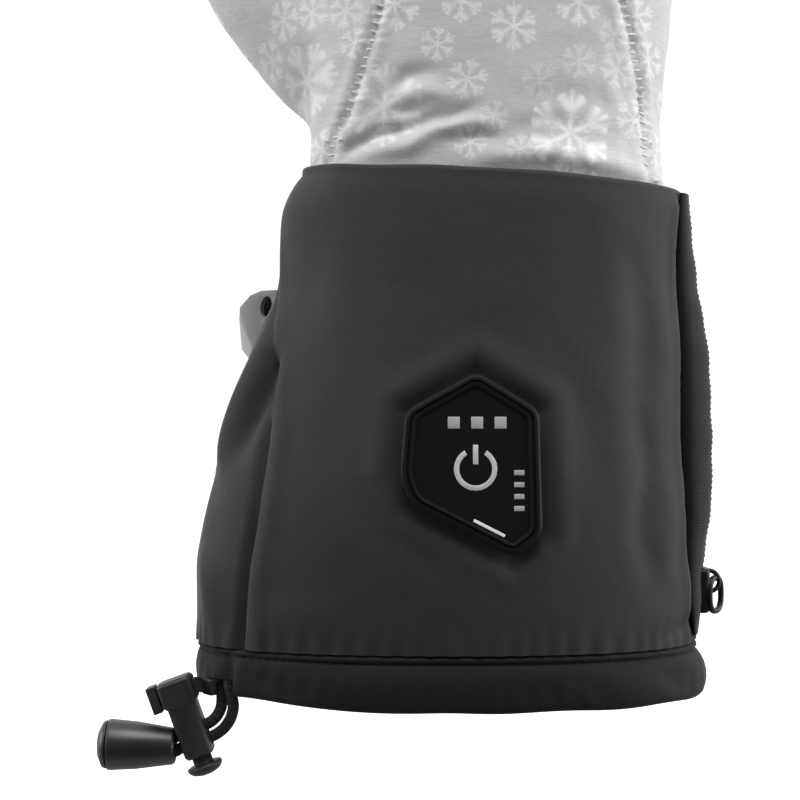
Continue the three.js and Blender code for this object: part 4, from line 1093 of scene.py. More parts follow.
    def build(self) -> list[bpy.types.Object]:
        """The cuff as one closed skin: outer cloth, rolled edge and lining."""
        top = FORM.height
        outer = [self.cloth_ring(z) for z in np.arange(self.start, top - self.crisp, self.step)]
        rim = self.cloth_ring(top - self.crisp)
        inner = FORM.wrist_ring(top - 2.0, self.around, CLEARANCE)
        for turn in np.linspace(0, 1, 13):
            out = math.cos(turn * math.pi / 2) ** 0.5
            ring = inner + (rim - inner) * out
            ring[:, 2] = top - self.crisp + self.crisp * math.sin(turn * math.pi / 2) ** 0.6
            outer.append(ring)
        for z in (top - 2.4, top - 4.0):
            outer.append(FORM.wrist_ring(z, self.around, CLEARANCE))
        for z in np.arange(top - self.roll - 1.0, self.start, -4.0):
            outer.append(FORM.ring(z, self.around, -self.wall))
        outer.append(FORM.ring(self.start, self.around, -self.wall))
        rings = np.array(outer)
        near_top = np.clip((rings[..., 2] - (top - 26)) / 22, 0, 1)
        wave = 0.35 * cloth_noise(rings * (1, 1, 0), 22.0, 4.0)
        rings[..., 2] -= near_top * (FORM.dip(rings[..., 0]) - wave)
        piece = Bench.loft("softshell_cuff", rings, True)
        Bench.smooth(piece, 60.0)
        Bench.dress(piece, self.finishes.softshell, "softshell", "cuff_shell")
        return [piece]


@dataclass
class HemBand:
    """The drawcord channel under the cuff, gathered a little and open where the cords come out."""

    finishes: Finishes
    around: int = 320
    height: float = 14.0
    wall: float = 3.8
    lift: float = 1.7
    gathers: int = 58
    notch_width: float = 9.6
    notch_height: float = 4.3
    cord_angle: float = math.pi + 0.53
    rows: tuple[Triple, ...] = (
        (0.0, 0.36, 0.62),
        (0.03, 0.2, 0.8),
        (0.08, 0.1, 0.9),
        (0.16, 0.03, 0.97),
        (0.3, -0.05, 1.02),
        (0.44, -0.09, 1.06),
        (0.58, -0.09, 1.04),
        (0.7, -0.03, 1.0),
        (0.78, 0.05, 1.0),
        (0.83, 0.13, 1.0),
        (0.86, 0.26, 1.0),
        (0.885, 0.12, 1.0),
        (0.92, 0.03, 1.0),
        (0.96, 0.05, 1.0),
        (0.985, 0.14, 1.0),
        (1.0, 0.34, 1.0),
    )
    creases: tuple[Crease, ...] = (
        Crease(((-57.5, 14.0), (-57.0, 7.0), (-58.0, 1.0)), 1.1, 1.0, Fold.VALLEY),
        Crease(((-54.0, 13.0), (-53.6, 6.0), (-54.5, 1.0)), 0.7, 1.5),
        Crease(((-61.5, 12.0), (-61.0, 6.0), (-61.5, 1.0)), 0.7, 1.2),
        Crease(((-50.0, 8.0), (-44.0, 4.5), (-36.0, 2.0)), 0.6, 1.6, Fold.VALLEY),
        Crease(((52.0, 9.0), (58.0, 5.0), (63.0, 4.0)), 0.7, 1.6, Fold.VALLEY),
        Crease(((66.0, 12.0), (67.5, 6.0), (66.5, 0.0)), 1.0, 3.6),
        Crease(((56.0, 12.0), (61.0, 10.0), (64.0, 9.0)), 0.5, 1.3),
        Crease(((30.0, 9.0), (38.0, 4.0), (42.0, 0.5)), 0.3, 2.4, Fold.VALLEY),
    )

    def build(self) -> list[bpy.types.Object]:
        """The band as one closed skin with its top seam and gathers, and its stitches."""
        exit_at, tangent, out = FORM.frame(self.cord_angle, 0.0)
        outer, inner = [], []
        for at, inset, deep in self.rows:
            z = at * self.height
            ring = FORM.ring(z, self.around, -inset * self.wall, start=0.0)
            low = math.sin(math.pi * min(at, 0.8) / 0.8)
            turn = np.arange(self.around) * 2 * math.pi / self.around
            gather = 0.24 * np.sin(turn * self.gathers + 1.5 * math.sin(5 * at))
            gather = gather * (0.5 + 0.9 * cloth_noise(ring, 30.0, 2.0)) * low
            folds = sum(crease.relief(ring[:, 0], ring[:, 2]) for crease in self.creases) * (ring[:, 1] < 0)
            soft = 0.6 * cloth_noise(ring, 24.0, 7.0) * low + gather + folds
            ring[:, :2] += soft[:, None] * FORM.outward(ring[:, :2])
            outer.append(ring)
            inner.append(FORM.ring(z, self.around, -deep * self.wall, start=0.0))
        rings = np.array([*outer, *inner[::-1]])
        near = np.hypot(rings[..., 0] - exit_at.x, rings[..., 1] - exit_at.y) / FORM.hem_depth
        near = np.clip((near - 0.06) / 0.4, 0, 1)
        near = 1 - near * near * (3 - 2 * near)
        sag = 0.7 * cloth_noise(rings * (1, 1, 0), 21.0, 6.0) * (1 - rings[..., 2] / self.height)
        rings[..., 2] += self.lift * near * (1 - rings[..., 2] / self.height) + np.maximum(sag, -0.4)
        piece = Bench.loft("drawcord_channel", rings, True)
        self.cut_notch(piece, exit_at, tangent, out)
        Bench.smooth(piece, 50.0)
        Bench.dress(piece, self.finishes.hem_cloth, "hem_cloth", "hem_band")
        return [piece, self.stitches(piece)]

    def stitches(self, band: bpy.types.Object) -> bpy.types.Object:
        """The black stitch line that closes the channel, sunk in its groove."""
        tree = BVHTree.FromObject(band, bpy.context.evaluated_depsgraph_get())
        ring = FORM.ring(0.86 * self.height, 150, 4.0, start=0.0)
        outward = FORM.outward(ring[:, :2])
        stitches = []
        for (x, y, z), (ox, oy) in zip(ring, outward):
            hit = tree.ray_cast(Vector((x, y, z)) * MM, Vector((-ox, -oy, 0)))[0]
            if hit is not None:
                stitches.append((hit, Vector((-oy, ox, 0)), Vector((ox, oy, 0))))
        return Thread(self.finishes.black_thread, 1.9, 0.5).sewn("hem_stitches", stitches, "hem_cloth")

    def cut_notch(self, piece: bpy.types.Object, at: Vector, tangent: Vector, out: Vector) -> None:
        """Cuts the gap that the cords come out of."""
        size = (4 * self.wall, self.notch_width, 2 * (self.lift + self.notch_height))
        turn = Matrix((out, tangent, Vector((0, 0, 1)))).transposed().to_4x4()
        Bench.cut(piece, Matrix.Translation(at * MM) @ turn, tuple(s * MM for s in size))


@dataclass
class HandShell:
    """The padded hand: palm, back, four fingers and thumb in one blown skin with pressed seams."""

    finishes: Finishes
    nodes: tuple[str, ...] = (
        "hand_palm",
        "finger_index",
        "finger_middle",
        "finger_ring",
        "finger_little",
        "thumb",
    )
    voxel: float = 2.0
    finger_gap: float = 0.8
    knuckles: float = 236.0
    frames: int = 20
    start_in: float = 0.7
    swell: float = 2.2
    stitch: float = 2.2
    middle: float = 10.0
    palm_shift: float = 62.0
    left_seam: tuple[Pair, ...] = (
        (-31.8, 128.0),
        (-31.1, 142.5),
        (-29.9, 147.0),
        (-26.9, 151.3),
        (-23.4, 161.7),
        (-21.3, 168.5),
        (-18.4, 178.0),
        (-17.0, 192.0),
        (-20.0, 212.0),
        (-30.0, 236.0),
        (-40.0, 262.0),
    )
    right_seam: tuple[Pair, ...] = (
        (51.0, 128.0),
        (50.7, 140.0),
        (50.3, 147.0),
        (49.0, 160.0),
        (45.5, 174.0),
        (43.4, 181.0),
        (42.0, 192.0),
        (45.0, 212.0),
        (54.0, 236.0),
        (63.0, 262.0),
    )
    creases: tuple[Crease, ...] = (
        Crease(
            ((-29.0, 141.2), (-25.0, 143.6), (-19.5, 146.2), (-13.0, 147.2), (-6.0, 149.2)),
            1.8,
            1.5,
            Fold.VALLEY,
        ),
        Crease(((-9.0, 149.0), (-1.0, 150.0), (6.0, 152.6)), 1.3, 1.9, Fold.VALLEY),
        Crease(((-24.0, 140.6), (-10.9, 142.8), (-4.2, 147.0), (3.5, 148.6), (14.0, 148.0)), 1.5, 2.2),
        Crease(((-3.0, 144.2), (5.5, 145.4), (12.0, 144.6)), 1.1, 1.5, Fold.VALLEY),
        Crease(((2.0, 139.0), (24.0, 141.0), (42.0, 138.0), (58.0, 133.5)), 1.9, 3.0),
        Crease(((10.0, 147.5), (26.0, 149.0), (44.0, 146.0)), 0.5, 2.2, Fold.VALLEY),
        Crease(((-18.0, 155.4), (-15.5, 158.6), (-11.0, 161.2), (-3.0, 162.0)), 1.2, 2.0, Fold.VALLEY),
        Crease(((-15.0, 154.8), (-9.0, 156.6), (1.0, 155.6)), 0.9, 2.2),
        Crease(((-17.0, 151.0), (-12.0, 151.8), (-6.0, 153.0)), 0.7, 1.6, Fold.VALLEY),
        Crease(((14.0, 152.0), (26.0, 156.0), (40.0, 155.0)), 0.5, 3.0, Fold.VALLEY),
        Crease(((-58.0, 172.0), (-50.0, 163.0), (-43.0, 152.0)), 0.9, 2.2, Fold.VALLEY),
        Crease(((-56.0, 168.0), (-48.5, 160.0), (-43.5, 152.0)), 0.8, 1.8),
        Crease(((-46.0, 160.0), (-39.0, 152.0), (-36.0, 143.0)), 0.7, 2.6, Fold.VALLEY),
        Crease(((-40.0, 156.0), (-36.0, 148.0), (-35.5, 140.0)), 0.7, 2.0),
    )

    def blown(self) -> bpy.types.Object:
        """The solids of the hand as one skin, swollen like padding."""
        piece = Bench.copy_of("printed_hand", *self.nodes)
        points, normals = Bench.points(piece), Bench.normals(piece)
        parted = np.clip((points[:, 2] / MM - self.knuckles) / 6, 0, 1)
        points[:, 0] -= self.finger_gap * MM * normals[:, 0] * parted
        Bench.put(piece, points)
        Bench.modify(piece, "REMESH", mode="VOXEL", voxel_size=self.voxel * MM, adaptivity=0.0)
        Bench.edit(piece)
        bpy.ops.mesh.vertices_smooth(factor=0.5, repeat=3)
        Bench.rest()
        rest = Bench.points(piece)
        Bench.put(piece, rest - self.start_in * MM * Bench.normals(piece))
        cloth = Bench.take(piece).modifiers.new("cloth", "CLOTH")
        cloth.settings.quality = 4
        cloth.settings.mass = 0.15
        cloth.settings.tension_stiffness = cloth.settings.compression_stiffness = 12
        cloth.settings.bending_stiffness = 0.4
        cloth.settings.use_pressure = True
        cloth.settings.uniform_pressure_force = 4.0
        cloth.settings.effector_weights.gravity = 0.0
        cloth.collision_settings.use_collision = False
        scene = bpy.context.scene
        for frame in range(1, self.frames + 1):
            scene.frame_set(frame)
        bpy.ops.object.modifier_apply(modifier=cloth.name)
        scene.frame_set(1)
        moved = Bench.points(piece) - rest
        far = np.linalg.norm(moved, axis=1)
        share = np.minimum(1.0, self.swell * MM / np.maximum(far, 1e-9))
        wrist = np.clip((rest[:, 2] / MM - 134) / 18, 0, 1)
        Bench.put(piece, rest + moved * (share * (0.15 + 0.85 * wrist))[:, None])
        return piece

    @staticmethod
    def beside(line: tuple[Pair, ...], x: np.ndarray, z: np.ndarray) -> tuple[np.ndarray, np.ndarray]:
        """The signed sideways distance from a line that climbs, and the height on it."""
        ups = [p[1] for p in line]
        return x - np.interp(z, ups, [p[0] for p in line]), np.clip(z, ups[0], ups[-1])

    def relief(self, points: np.ndarray) -> np.ndarray:
        """How far the cloth stands off the blown form: seams with puckers, folds and finger creases."""
        x, y, z = points.T
        made = np.zeros(len(x))
        front = np.clip((-y - 1) / 6, 0, 1)
        for line in (self.left_seam, self.right_seam):
            off, up = self.beside(line, x, z)
            reach = np.clip((262 - z) / 20, 0, 1)
            valley = -0.7 * np.exp(-((off / 1.1) ** 2))
            lips = 0.4 * np.exp(-(((np.abs(off) - 2.8) / 1.7) ** 2))
            beat = np.sin(up * 2 * math.pi / self.stitch + 1.2 * np.sin(up * 0.31))
            pucker = (0.3 + 0.3 * np.sin(up * 0.9) ** 2) * beat * np.exp(-((np.abs(off) - 1.6) ** 2) / 3.0)
            made += (valley + lips + pucker) * front * reach
        folds = sum(crease.relief(x, z) for crease in self.creases)
        made += 1.1 * folds * np.clip(-y / 8, 0, 1)
        wrist = np.exp(-(((z - 146) / 12) ** 2))
        fine = (0.25 + 0.35 * wrist) * cloth_noise(points * (0.6, 1, 1.3), 9.0, 15.0)
        soft = 0.5 * cloth_noise(points, 26.0, 11.0) + fine
        return made + soft * np.clip((z - 136) / 10, 0, 1)

    def lay_cloth(self, piece: bpy.types.Object) -> None:
        """Gives each face its place on the flat cloth, one panel for the back and one for the palm."""
        mesh = piece.data
        layer = mesh.uv_layers.new(name="cloth")
        points = Bench.points(piece)
        corner_points = np.zeros(len(mesh.loops), np.int32)
        mesh.loops.foreach_get("vertex_index", corner_points)
        starts = np.zeros(len(mesh.polygons), np.int32)
        totals = np.zeros(len(mesh.polygons), np.int32)
        mesh.polygons.foreach_get("loop_start", starts)
        mesh.polygons.foreach_get("loop_total", totals)
        centres = np.zeros(len(mesh.polygons) * 3, np.float32)
        mesh.polygons.foreach_get("center", centres)
        centres = centres.reshape(-1, 3)
        palm = np.repeat(centres[:, 1] > 0.004, totals)
        face_x = np.repeat(centres[:, 0], totals)
        at = points[corner_points]
        off = face_x - self.middle * MM
        side = np.clip((np.abs(off) - 0.044) / 0.014, 0, 1)
        depth = np.where(palm, 0.030 - at[:, 1], at[:, 1] + 0.022)
        spread = np.sign(off) * side * np.maximum(depth, 0) * 0.4
        flat = np.column_stack([at[:, 0] + spread + np.where(palm, self.palm_shift * MM, 0.0), at[:, 2]])
        layer.data.foreach_set("uv", flat.astype(np.float32).ravel())

    def build(self) -> list[bpy.types.Object]:
        """The whole hand shell, dressed in the print, and its stitches."""
        piece = self.blown()
        Bench.modify(piece, "SUBSURF", levels=1, render_levels=1)
        points = Bench.points(piece) / MM
        Bench.put(piece, (points + self.relief(points)[:, None] * Bench.normals(piece)) * MM)
        self.lay_cloth(piece)
        Bench.smooth(piece, 80.0)
        Bench.dress(piece, self.finishes.print_cloth, "print_cloth", *self.nodes)
        return [piece, *self.stitches(piece)]

    def stitches(self, hand: bpy.types.Object) -> list[bpy.types.Object]:
        """Short threads across both seams of the back of the hand, as one piece for each seam."""
        tree = BVHTree.FromObject(hand, bpy.context.evaluated_depsgraph_get())
        made = []
        for name, line in (("thread_thumb_side", self.left_seam), ("thread_little_side", self.right_seam)):
            ups = [p[1] for p in line]
            sides = [p[0] for p in line]
            stitches = []
            for z in np.arange(139.5, 240.0, self.stitch):
                x = float(np.interp(z, ups, sides))
                lean = float(np.interp(z + 1, ups, sides) - np.interp(z - 1, ups, sides)) / 2
                hit, normal, _, _ = tree.ray_cast(Vector((x, -80, z)) * MM, Vector((0, 1, 0)))
                if hit is None:
                    continue
                across = Vector((1, 0, -lean)).normalized()
                across = (across - normal * across.dot(normal)).normalized()
                stitches.append((hit + normal * 0.12 * MM, across, normal))
            made.append(Thread(self.finishes.thread, 2.6, 0.7).sewn(name, stitches, "print_cloth"))
        return made


@dataclass
class Thread:
    """Visible stitches: one short rounded thread, copied along a seam."""

    material: bpy.types.Material
    length: float
    thick: float

    def sewn(
        self, name: str, places: Iterable[tuple[Vector, Vector, Vector]], slot: str, *nodes: str
    ) -> bpy.types.Object:
        """Lays stitches at places and joins them.

        Args:
            name: the piece's name.
            places: each stitch's middle in metres, its direction and the cloth's normal.
            slot: the record's material slot.
            nodes: the CAD nodes that it stands for, if any.

        Returns:
            The piece.
        """
        Bench.rest()
        bpy.ops.mesh.primitive_uv_sphere_add(segments=8, ring_count=5, radius=0.5)
        model = bpy.context.object
        copies = []
        for middle, along, normal in places:
            side = normal.cross(along).normalized()
            turn = Matrix((along, side, normal)).transposed().to_4x4()
            size = Matrix.Diagonal((self.length * MM, self.thick * MM, self.thick * 0.8 * MM, 1))
            copy = bpy.data.objects.new(name, model.data.copy())
            copy.data.transform(Matrix.Translation(middle) @ turn @ size)
            bpy.context.scene.collection.objects.link(copy)
            copies.append(copy)
        bpy.data.objects.remove(model)
        Bench.rest()
        for copy in copies:
            copy.select_set(True)
        bpy.context.view_layer.objects.active = copies[0]
        bpy.ops.object.join()
        return Bench.dress(Bench.smooth(Bench.named(name), 60.0), self.material, slot, *nodes)


@dataclass
class ControlUnit:
    """The rubber push-button unit on the back of the cuff: a rim round a sunk face with lights."""

    finishes: Finishes
    CENTRE = (4.5, 62.3)
    SIZE = (34.4, 45.0)
    FLANGE = (1.2, 1.4)
    GROOVE = 2.3
    CORNERS = (
        (0.08, 1.0),
        (0.96, 0.58),
        (1.0, -0.76),
        (0.6, -1.0),
        (-0.84, -0.44),
        (-1.0, -0.14),
        (-0.92, 0.57),
    )
    NUDGES = {
        "window": (0.0, -0.8, 0.9),
        "dash": (-0.35, -0.35, 0.92),
        "power": (-0.3, 0.0, 1.08),
        "bar": (1.7, -0.3, 1.0),
    }
    stand: float = 3.4
    rim: float = 3.1
    bevel: float = 1.1
    corner: float = 3.2

    @classmethod
    def corners(cls) -> list[Pair]:
        """The unit's corners from the front, in millimetres, its soft lower left flange with them."""
        (cx, cz), (w, h), (dx, dz) = cls.CENTRE, cls.SIZE, cls.FLANGE
        east, up = (w + dx) / 2, (h + dz) / 2
        return [(cx + x * east - 0.35 * dx, cz + z * up - 0.38 * dz) for x, z in cls.CORNERS]

    @classmethod
    def press(cls, x: np.ndarray, z: np.ndarray) -> np.ndarray:
        """How far the cloth is pressed in round the unit, seen from the front."""
        corners = cls.corners()
        outside = np.full(x.shape, -1e9)
        for a, b in zip(corners, corners[1:] + corners[:1]):
            run = math.dist(a, b)
            side = ((x - a[0]) * (b[1] - a[1]) - (z - a[1]) * (b[0] - a[0])) / run
            outside = np.maximum(outside, -side)
        groove = np.exp(-((np.maximum(outside + 0.4, 0) / cls.GROOVE) ** 2))
        lip = 0.5 * np.exp(-(((outside - 6.0) / 2.6) ** 2))
        return -cls.GROOVE * groove + lip

    def place(self) -> Matrix:
        """The unit's own frame on the cuff: x across, y into the cuff, z up."""
        tilt = math.atan((FORM.hem_depth / 2 - FORM.top_depth) / FORM.height)
        shares = np.array(FORM.at) * FORM.height
        share = float(np.interp(self.CENTRE[1], shares, FORM.depth))
        front = -(FORM.hem_depth / 2 + (FORM.top_depth - FORM.hem_depth / 2) * share)
        at = Vector((self.CENTRE[0], front, self.CENTRE[1])) * MM
        return Matrix.Translation(at) @ Matrix.Rotation(-tilt, 4, "X")

    def outline(self, name: str) -> bpy.types.Object:
        """The unit's outline as a flat rounded face that looks forwards, in its own frame."""
        Bench.rest()
        bpy.ops.mesh.primitive_circle_add(vertices=len(self.CORNERS), radius=MM, fill_type="NGON")
        piece = Bench.named(name)
        corners = list(reversed(self.corners()))
        for vertex, (x, z) in zip(piece.data.vertices, corners):
            vertex.co = Vector(((x - self.CENTRE[0]), 0, (z - self.CENTRE[1]))) * MM
        Bench.edit(piece)
        bpy.ops.mesh.bevel(offset=self.corner * 0.8 * MM, segments=7, affect="VERTICES", profile=0.5)
        bpy.ops.mesh.select_all(action="SELECT")
        bpy.ops.mesh.normals_make_consistent(inside=False)
        return piece

    def frame_piece(self) -> bpy.types.Object:
        """The rim: the outline raised, rounded over and sunk again inside it."""
        piece = self.outline("control_rim")
        self.face_forward(piece)
        push = bpy.ops.mesh.extrude_region_move
        push(TRANSFORM_OT_translate={"value": (0, -(self.stand - self.bevel) * MM, 0)})
        for turn in np.linspace(0.25, 1, 4):
            last = turn - 0.25
            rise = self.bevel * (math.sin(turn * math.pi / 2) - math.sin(last * math.pi / 2))
            inset = self.bevel * (math.cos(last * math.pi / 2) - math.cos(turn * math.pi / 2))
            bpy.ops.mesh.inset(thickness=inset * MM, depth=0)
            bpy.ops.transform.translate(value=(0, -rise * MM, 0))
        steps = ((0.35, 0.0), (0.2, 0.5), (0.3, 0.0), (0.2, -0.55), (0.45, 0.0), (0.3, 0.2))
        for inset, sink in steps:
            bpy.ops.mesh.inset(thickness=inset * MM, depth=0)
            bpy.ops.transform.translate(value=(0, sink * MM, 0))
        last = self.rim - self.bevel - sum(inset for inset, _ in steps)
        bpy.ops.mesh.inset(thickness=last * MM, depth=0)
        bpy.ops.mesh.inset(thickness=0.15 * MM, depth=0)
        bpy.ops.transform.translate(value=(0, 1.6 * MM, 0))
        Bench.rest()
        return self.settle(piece, "control_frame", self.finishes.rim, True)

    def face_piece(self) -> bpy.types.Object:
        """The soft face inside the rim."""
        piece = self.outline("control_membrane")
        self.face_forward(piece)
        bpy.ops.mesh.inset(thickness=(self.rim + CLEARANCE) * MM, depth=0)
        bpy.ops.mesh.select_all(action="INVERT")
        bpy.ops.mesh.delete(type="FACE")
        bpy.ops.mesh.select_all(action="SELECT")
        top = self.stand - 0.4
        bpy.ops.transform.translate(value=(0, -(top - 1.2) * MM, 0))
        bpy.ops.mesh.extrude_region_move(TRANSFORM_OT_translate={"value": (0, -0.8 * MM, 0)})
        for inset, rise in ((0.12, 0.2), (0.3, 0.08)):
            bpy.ops.mesh.inset(thickness=inset * MM, depth=0)
            bpy.ops.transform.translate(value=(0, -rise * MM, 0))
        Bench.rest()
        return self.settle(piece, "control_face", self.finishes.rubber, False)

    @staticmethod
    def face_forward(piece: bpy.types.Object) -> None:
        """Turns the flat outline's normal towards the front, with all of it selected."""
        Bench.rest()
        if piece.data.polygons[0].normal.y > 0:
            Bench.edit(piece)
            bpy.ops.mesh.flip_normals()
        Bench.edit(piece)

    def settle(
        self, piece: bpy.types.Object, node: str, finish: bpy.types.Material, skirt: bool
    ) -> bpy.types.Object:
        """Closes a part of the unit at its back, puts it on the cuff and dresses it.

        Args:
            piece: the part, open at its back.
            node: the CAD node that it stands for.
            finish: its material.
            skirt: True if its open edge is drawn back into the cuff first.

        Returns:
            The part.
        """
        Bench.edit(piece, "DESELECT")
        bpy.ops.mesh.select_non_manifold()
        if skirt:
            bpy.ops.mesh.extrude_region_move(TRANSFORM_OT_translate={"value": (0, 0.9 * MM, 0)})
        bpy.ops.mesh.edge_face_add()
        bpy.ops.mesh.select_all(action="SELECT")
        bpy.ops.mesh.normals_make_consistent(inside=False)
        Bench.rest()
        piece.data.transform(self.place())
        return Bench.dress(Bench.smooth(piece, 35.0), finish, "control_rubber", node)

    def lights(self) -> list[bpy.types.Object]:
        """The windows, dashes, power mark and light bar, with softened edges."""
        made = []
        groups = {
            "window": ("led_window_1", "led_window_2", "led_window_3"),
            "dash": ("charge_dash_1", "charge_dash_2", "charge_dash_3", "charge_dash_4"),
            "power": ("power_ring", "power_bar"),
            "bar": ("light_bar",),
        }
        finish = {
            "window": self.finishes.window,
            "dash": self.finishes.window,
            "power": self.finishes.mark,
            "bar": self.finishes.light_bar,
        }
        for group, nodes in groups.items():
            for node in nodes:
                piece = Bench.eased(Bench.copy_of(f"lens_{node}", node), 0.12, 2)
                self.set_window(piece, *self.NUDGES[group])
                if group == "bar":
                    self.thin(piece, 0.6)
                made.append(Bench.dress(piece, finish[group], "window", node))
        return made

    @staticmethod
    def set_window(piece: bpy.types.Object, east: float, up: float, share: float) -> None:
        """Moves a window's mesh over the face by millimetres and resizes it about its middle."""
        points = Bench.points(piece)
        middle = (points.min(axis=0) + points.max(axis=0)) / 2
        sizes = np.array([share, 1.0, share])
        Bench.put(piece, middle + (points - middle) * sizes + np.array([east, 0.058 * up - 0.02, up]) * MM)

    @staticmethod
    def thin(piece: bpy.types.Object, share: float) -> None:
        """Narrows a slanted window across its own line, seen from the front."""
        points = Bench.points(piece)
        middle = (points.min(axis=0) + points.max(axis=0)) / 2
        away = (points - middle)[:, [0, 2]]
        _, ways = np.linalg.eigh(away.T @ away)
        across = ways[:, 0]
        moved = (share - 1) * (away @ across)[:, None] * across
        points[:, [0, 2]] += moved
        Bench.put(piece, points)

    def build(self) -> list[bpy.types.Object]:
        """The whole unit."""
        return [self.frame_piece(), self.face_piece(), *self.lights()]


@dataclass
class BatteryZip:
    """The side zip over the battery pocket: arched tape, closed teeth, slider and its ring."""

    finishes: Finishes
    FRONT = -0.33
    BACK = 0.1
    BOTTOM = 16.0
    top_margin: float = 1.2
    bulge: float = 6.0
    wall: float = 1.2
    tooth: float = 1.5
    tooth_sunk: float = 0.47
    narrowing: float = 10.0
    ripple: float = 11.0
    slider_rise: float = 27.2
    slider_size: Triple = (8.4, 12.0, 3.4)
    ring_size: Pair = (8.2, 10.4)
    ring_top: float = 31.3
    ring_wire: float = 1.65
    ring_turn: float = 0.5
    at: tuple[float, ...] = (0.0, 0.06, 0.15, 0.22, 0.31, 0.45, 0.62, 0.72, 0.82, 0.91, 1.0)
    rise: tuple[float, ...] = (0.0, 0.1, 0.26, 0.5, 0.78, 0.96, 0.92, 0.74, 0.5, 0.24, 0.05)

    @property
    def top(self) -> float:
        """The tape's upper end."""
        return FORM.height - FORM.top_drop - self.top_margin

    def over(self, z: float, across: float, height: float) -> Vector:
        """A point over the tape.

        Args:
            z: how high it is, in millimetres.
            across: 0 at the tape's front edge and 1 at its back edge.
            height: how far it stands off the tape's inner side.

        Returns:
            The point.
        """
        place, _, out = FORM.frame(self.FRONT + (self.BACK - self.FRONT) * across, z)
        share = (z - self.BOTTOM) / (self.top - self.BOTTOM)
        arch = float(np.interp(share, self.at, self.rise)) * math.sin(math.pi * min(max(across, 0), 1)) ** 0.7
        return place + out * (CLEARANCE + self.bulge * arch + height)

    def widened(self, z: float) -> float:
        """The tape's share of its full width at a height, rising from its lower end."""
        return math.sin(min(1.0, (z - self.BOTTOM) / self.narrowing) * math.pi / 2)

    def rippled(self, z: float) -> float:
        """How far the tape stands off its arch at a height, in shallow ripples."""
        return 0.12 * math.sin(z * 2 * math.pi / self.ripple)

    def tape(self) -> bpy.types.Object:
        """The woven tape, narrowed to a rounded end at the hem."""
        rings = []
        shares = np.linspace(0, 1, 25)
        for z in np.linspace(self.BOTTOM, self.top, 90):
            wide = self.widened(z)
            spots = 0.12 * (1 - wide) + shares * (0.2 + 0.8 * wide)
            edge = self.wall * (1 - 0.55 * np.abs(shares * 2 - 1) ** 10) * (0.4 + 0.6 * wide)
            ripple = self.rippled(z) * wide
            outer = [self.over(z, s, e + ripple * math.sin(math.pi * s)) for s, e in zip(spots, edge)]
            inner = [self.over(z, s, 0.0) for s in spots[::-1]]
            rings.append([tuple(p) for p in [*outer, *inner]])
        piece = Bench.smooth(Bench.loft("zip_band", np.array(rings), False), 60.0)
        points = Bench.points(piece) / MM
        front = np.array([tuple(self.over(z, 0.0, 0.0))[:2] for z in points[:, 2]])
        # Distance from the tape's front edge, which zip_cloth reads for its painted shadow.
        Bench.carry(piece, "from_edge", np.hypot(*(points[:, :2] - front).T))
        return piece

    def teeth(self) -> bpy.types.Object:
        """The closed row of teeth along the tape's middle, one small tooth copied."""
        places = []
        count = int((self.top - self.BOTTOM - 6.0) / self.tooth)
        for k in range(count):
            z = self.BOTTOM + 5.5 + k * self.tooth
            wide = self.widened(z)
            level = self.wall * (0.4 + 0.6 * wide) - self.tooth_sunk + self.rippled(z) * wide
            foot = self.over(z, 0.5, level)
            _, tangent, out = FORM.frame((self.FRONT + self.BACK) / 2, z)
            side = 0.62 if k % 2 else -0.62
            places.append(((foot + tangent * side + out * 0.25) * MM, tangent, out))
        return Thread(self.finishes.zip_edge, 2.5, 1.0).sewn("zip_teeth", places, "zip_cloth", "zip_coil")

    def slider_frame(self) -> Matrix:
        """The slider's frame in millimetres: x across the tape, y up the cuff, z off it."""
        _, tangent, out = FORM.frame((self.FRONT + self.BACK) / 2, self.slider_rise)
        turn = Matrix((tangent, Vector((0, 0, 1)), out)).transposed().to_4x4()
        return Matrix.Translation(self.over(self.slider_rise, 0.5, self.wall)) @ turn

    def slider(self) -> bpy.types.Object:
        """The slider's body: a block rounded all over and narrowed towards the hem."""
        Bench.rest()
        bpy.ops.mesh.primitive_cube_add(size=1)
        piece = Bench.named("slider")
        width, length, height = self.slider_size
        at = Matrix.Translation((0, 0, 0.6 - CLEARANCE)) @ Matrix.Diagonal((width, length, height, 1))
        piece.data.transform(at)
        points = Bench.points(piece)
        points[:, 0] *= np.where(points[:, 1] < 0, 0.72, 1.0)
        Bench.put(piece, points)
        Bench.modify(piece, "BEVEL", width=1.2, segments=5, limit_method="NONE")
        Bench.put(piece, Bench.points(piece) * MM)
        piece.data.transform(Drawcord.metres(self.slider_frame()))
        return Bench.smooth(piece, 40.0)

    @staticmethod
    def wire(name: str, line: np.ndarray, thick: float, closed: bool) -> bpy.types.Object:
        """A bent wire.

        Args:
            name: the piece's name.
            line: its middle line, in millimetres.
            thick: its thickness.
            closed: True if its ends meet.

        Returns:
            The piece.
        """
        ahead = np.roll(line, -1, axis=0) - np.roll(line, 1, axis=0) if closed else np.gradient(line, axis=0)
        ahead /= np.linalg.norm(ahead, axis=1)[:, None]
        flat = np.cross(line[1] - line[0], line[len(line) // 2] - line[0])
        flat /= np.linalg.norm(flat)
        side = np.cross(ahead, flat)
        angles = np.linspace(0, 2 * math.pi, 14, endpoint=False)
        circle = np.cos(angles)[None, :, None] * side[:, None] + np.sin(angles)[None, :, None] * flat
        return Bench.smooth(Bench.loft(name, line[:, None] + circle * thick / 2, closed), 60.0)

    def bail(self) -> bpy.types.Object:
        """The small bow on the slider that the ring hangs in."""
        frame = self.slider_frame()
        turn = np.linspace(0, math.pi, 19)
        bow = [(0, 2.4 + 2.9 * math.cos(a), 1.0 + 3.5 * max(math.sin(a), 0) ** 0.8) for a in turn]
        line = np.array([tuple(frame @ Vector(p)) for p in bow])
        return self.wire("slider_bail", line, 1.2, False)

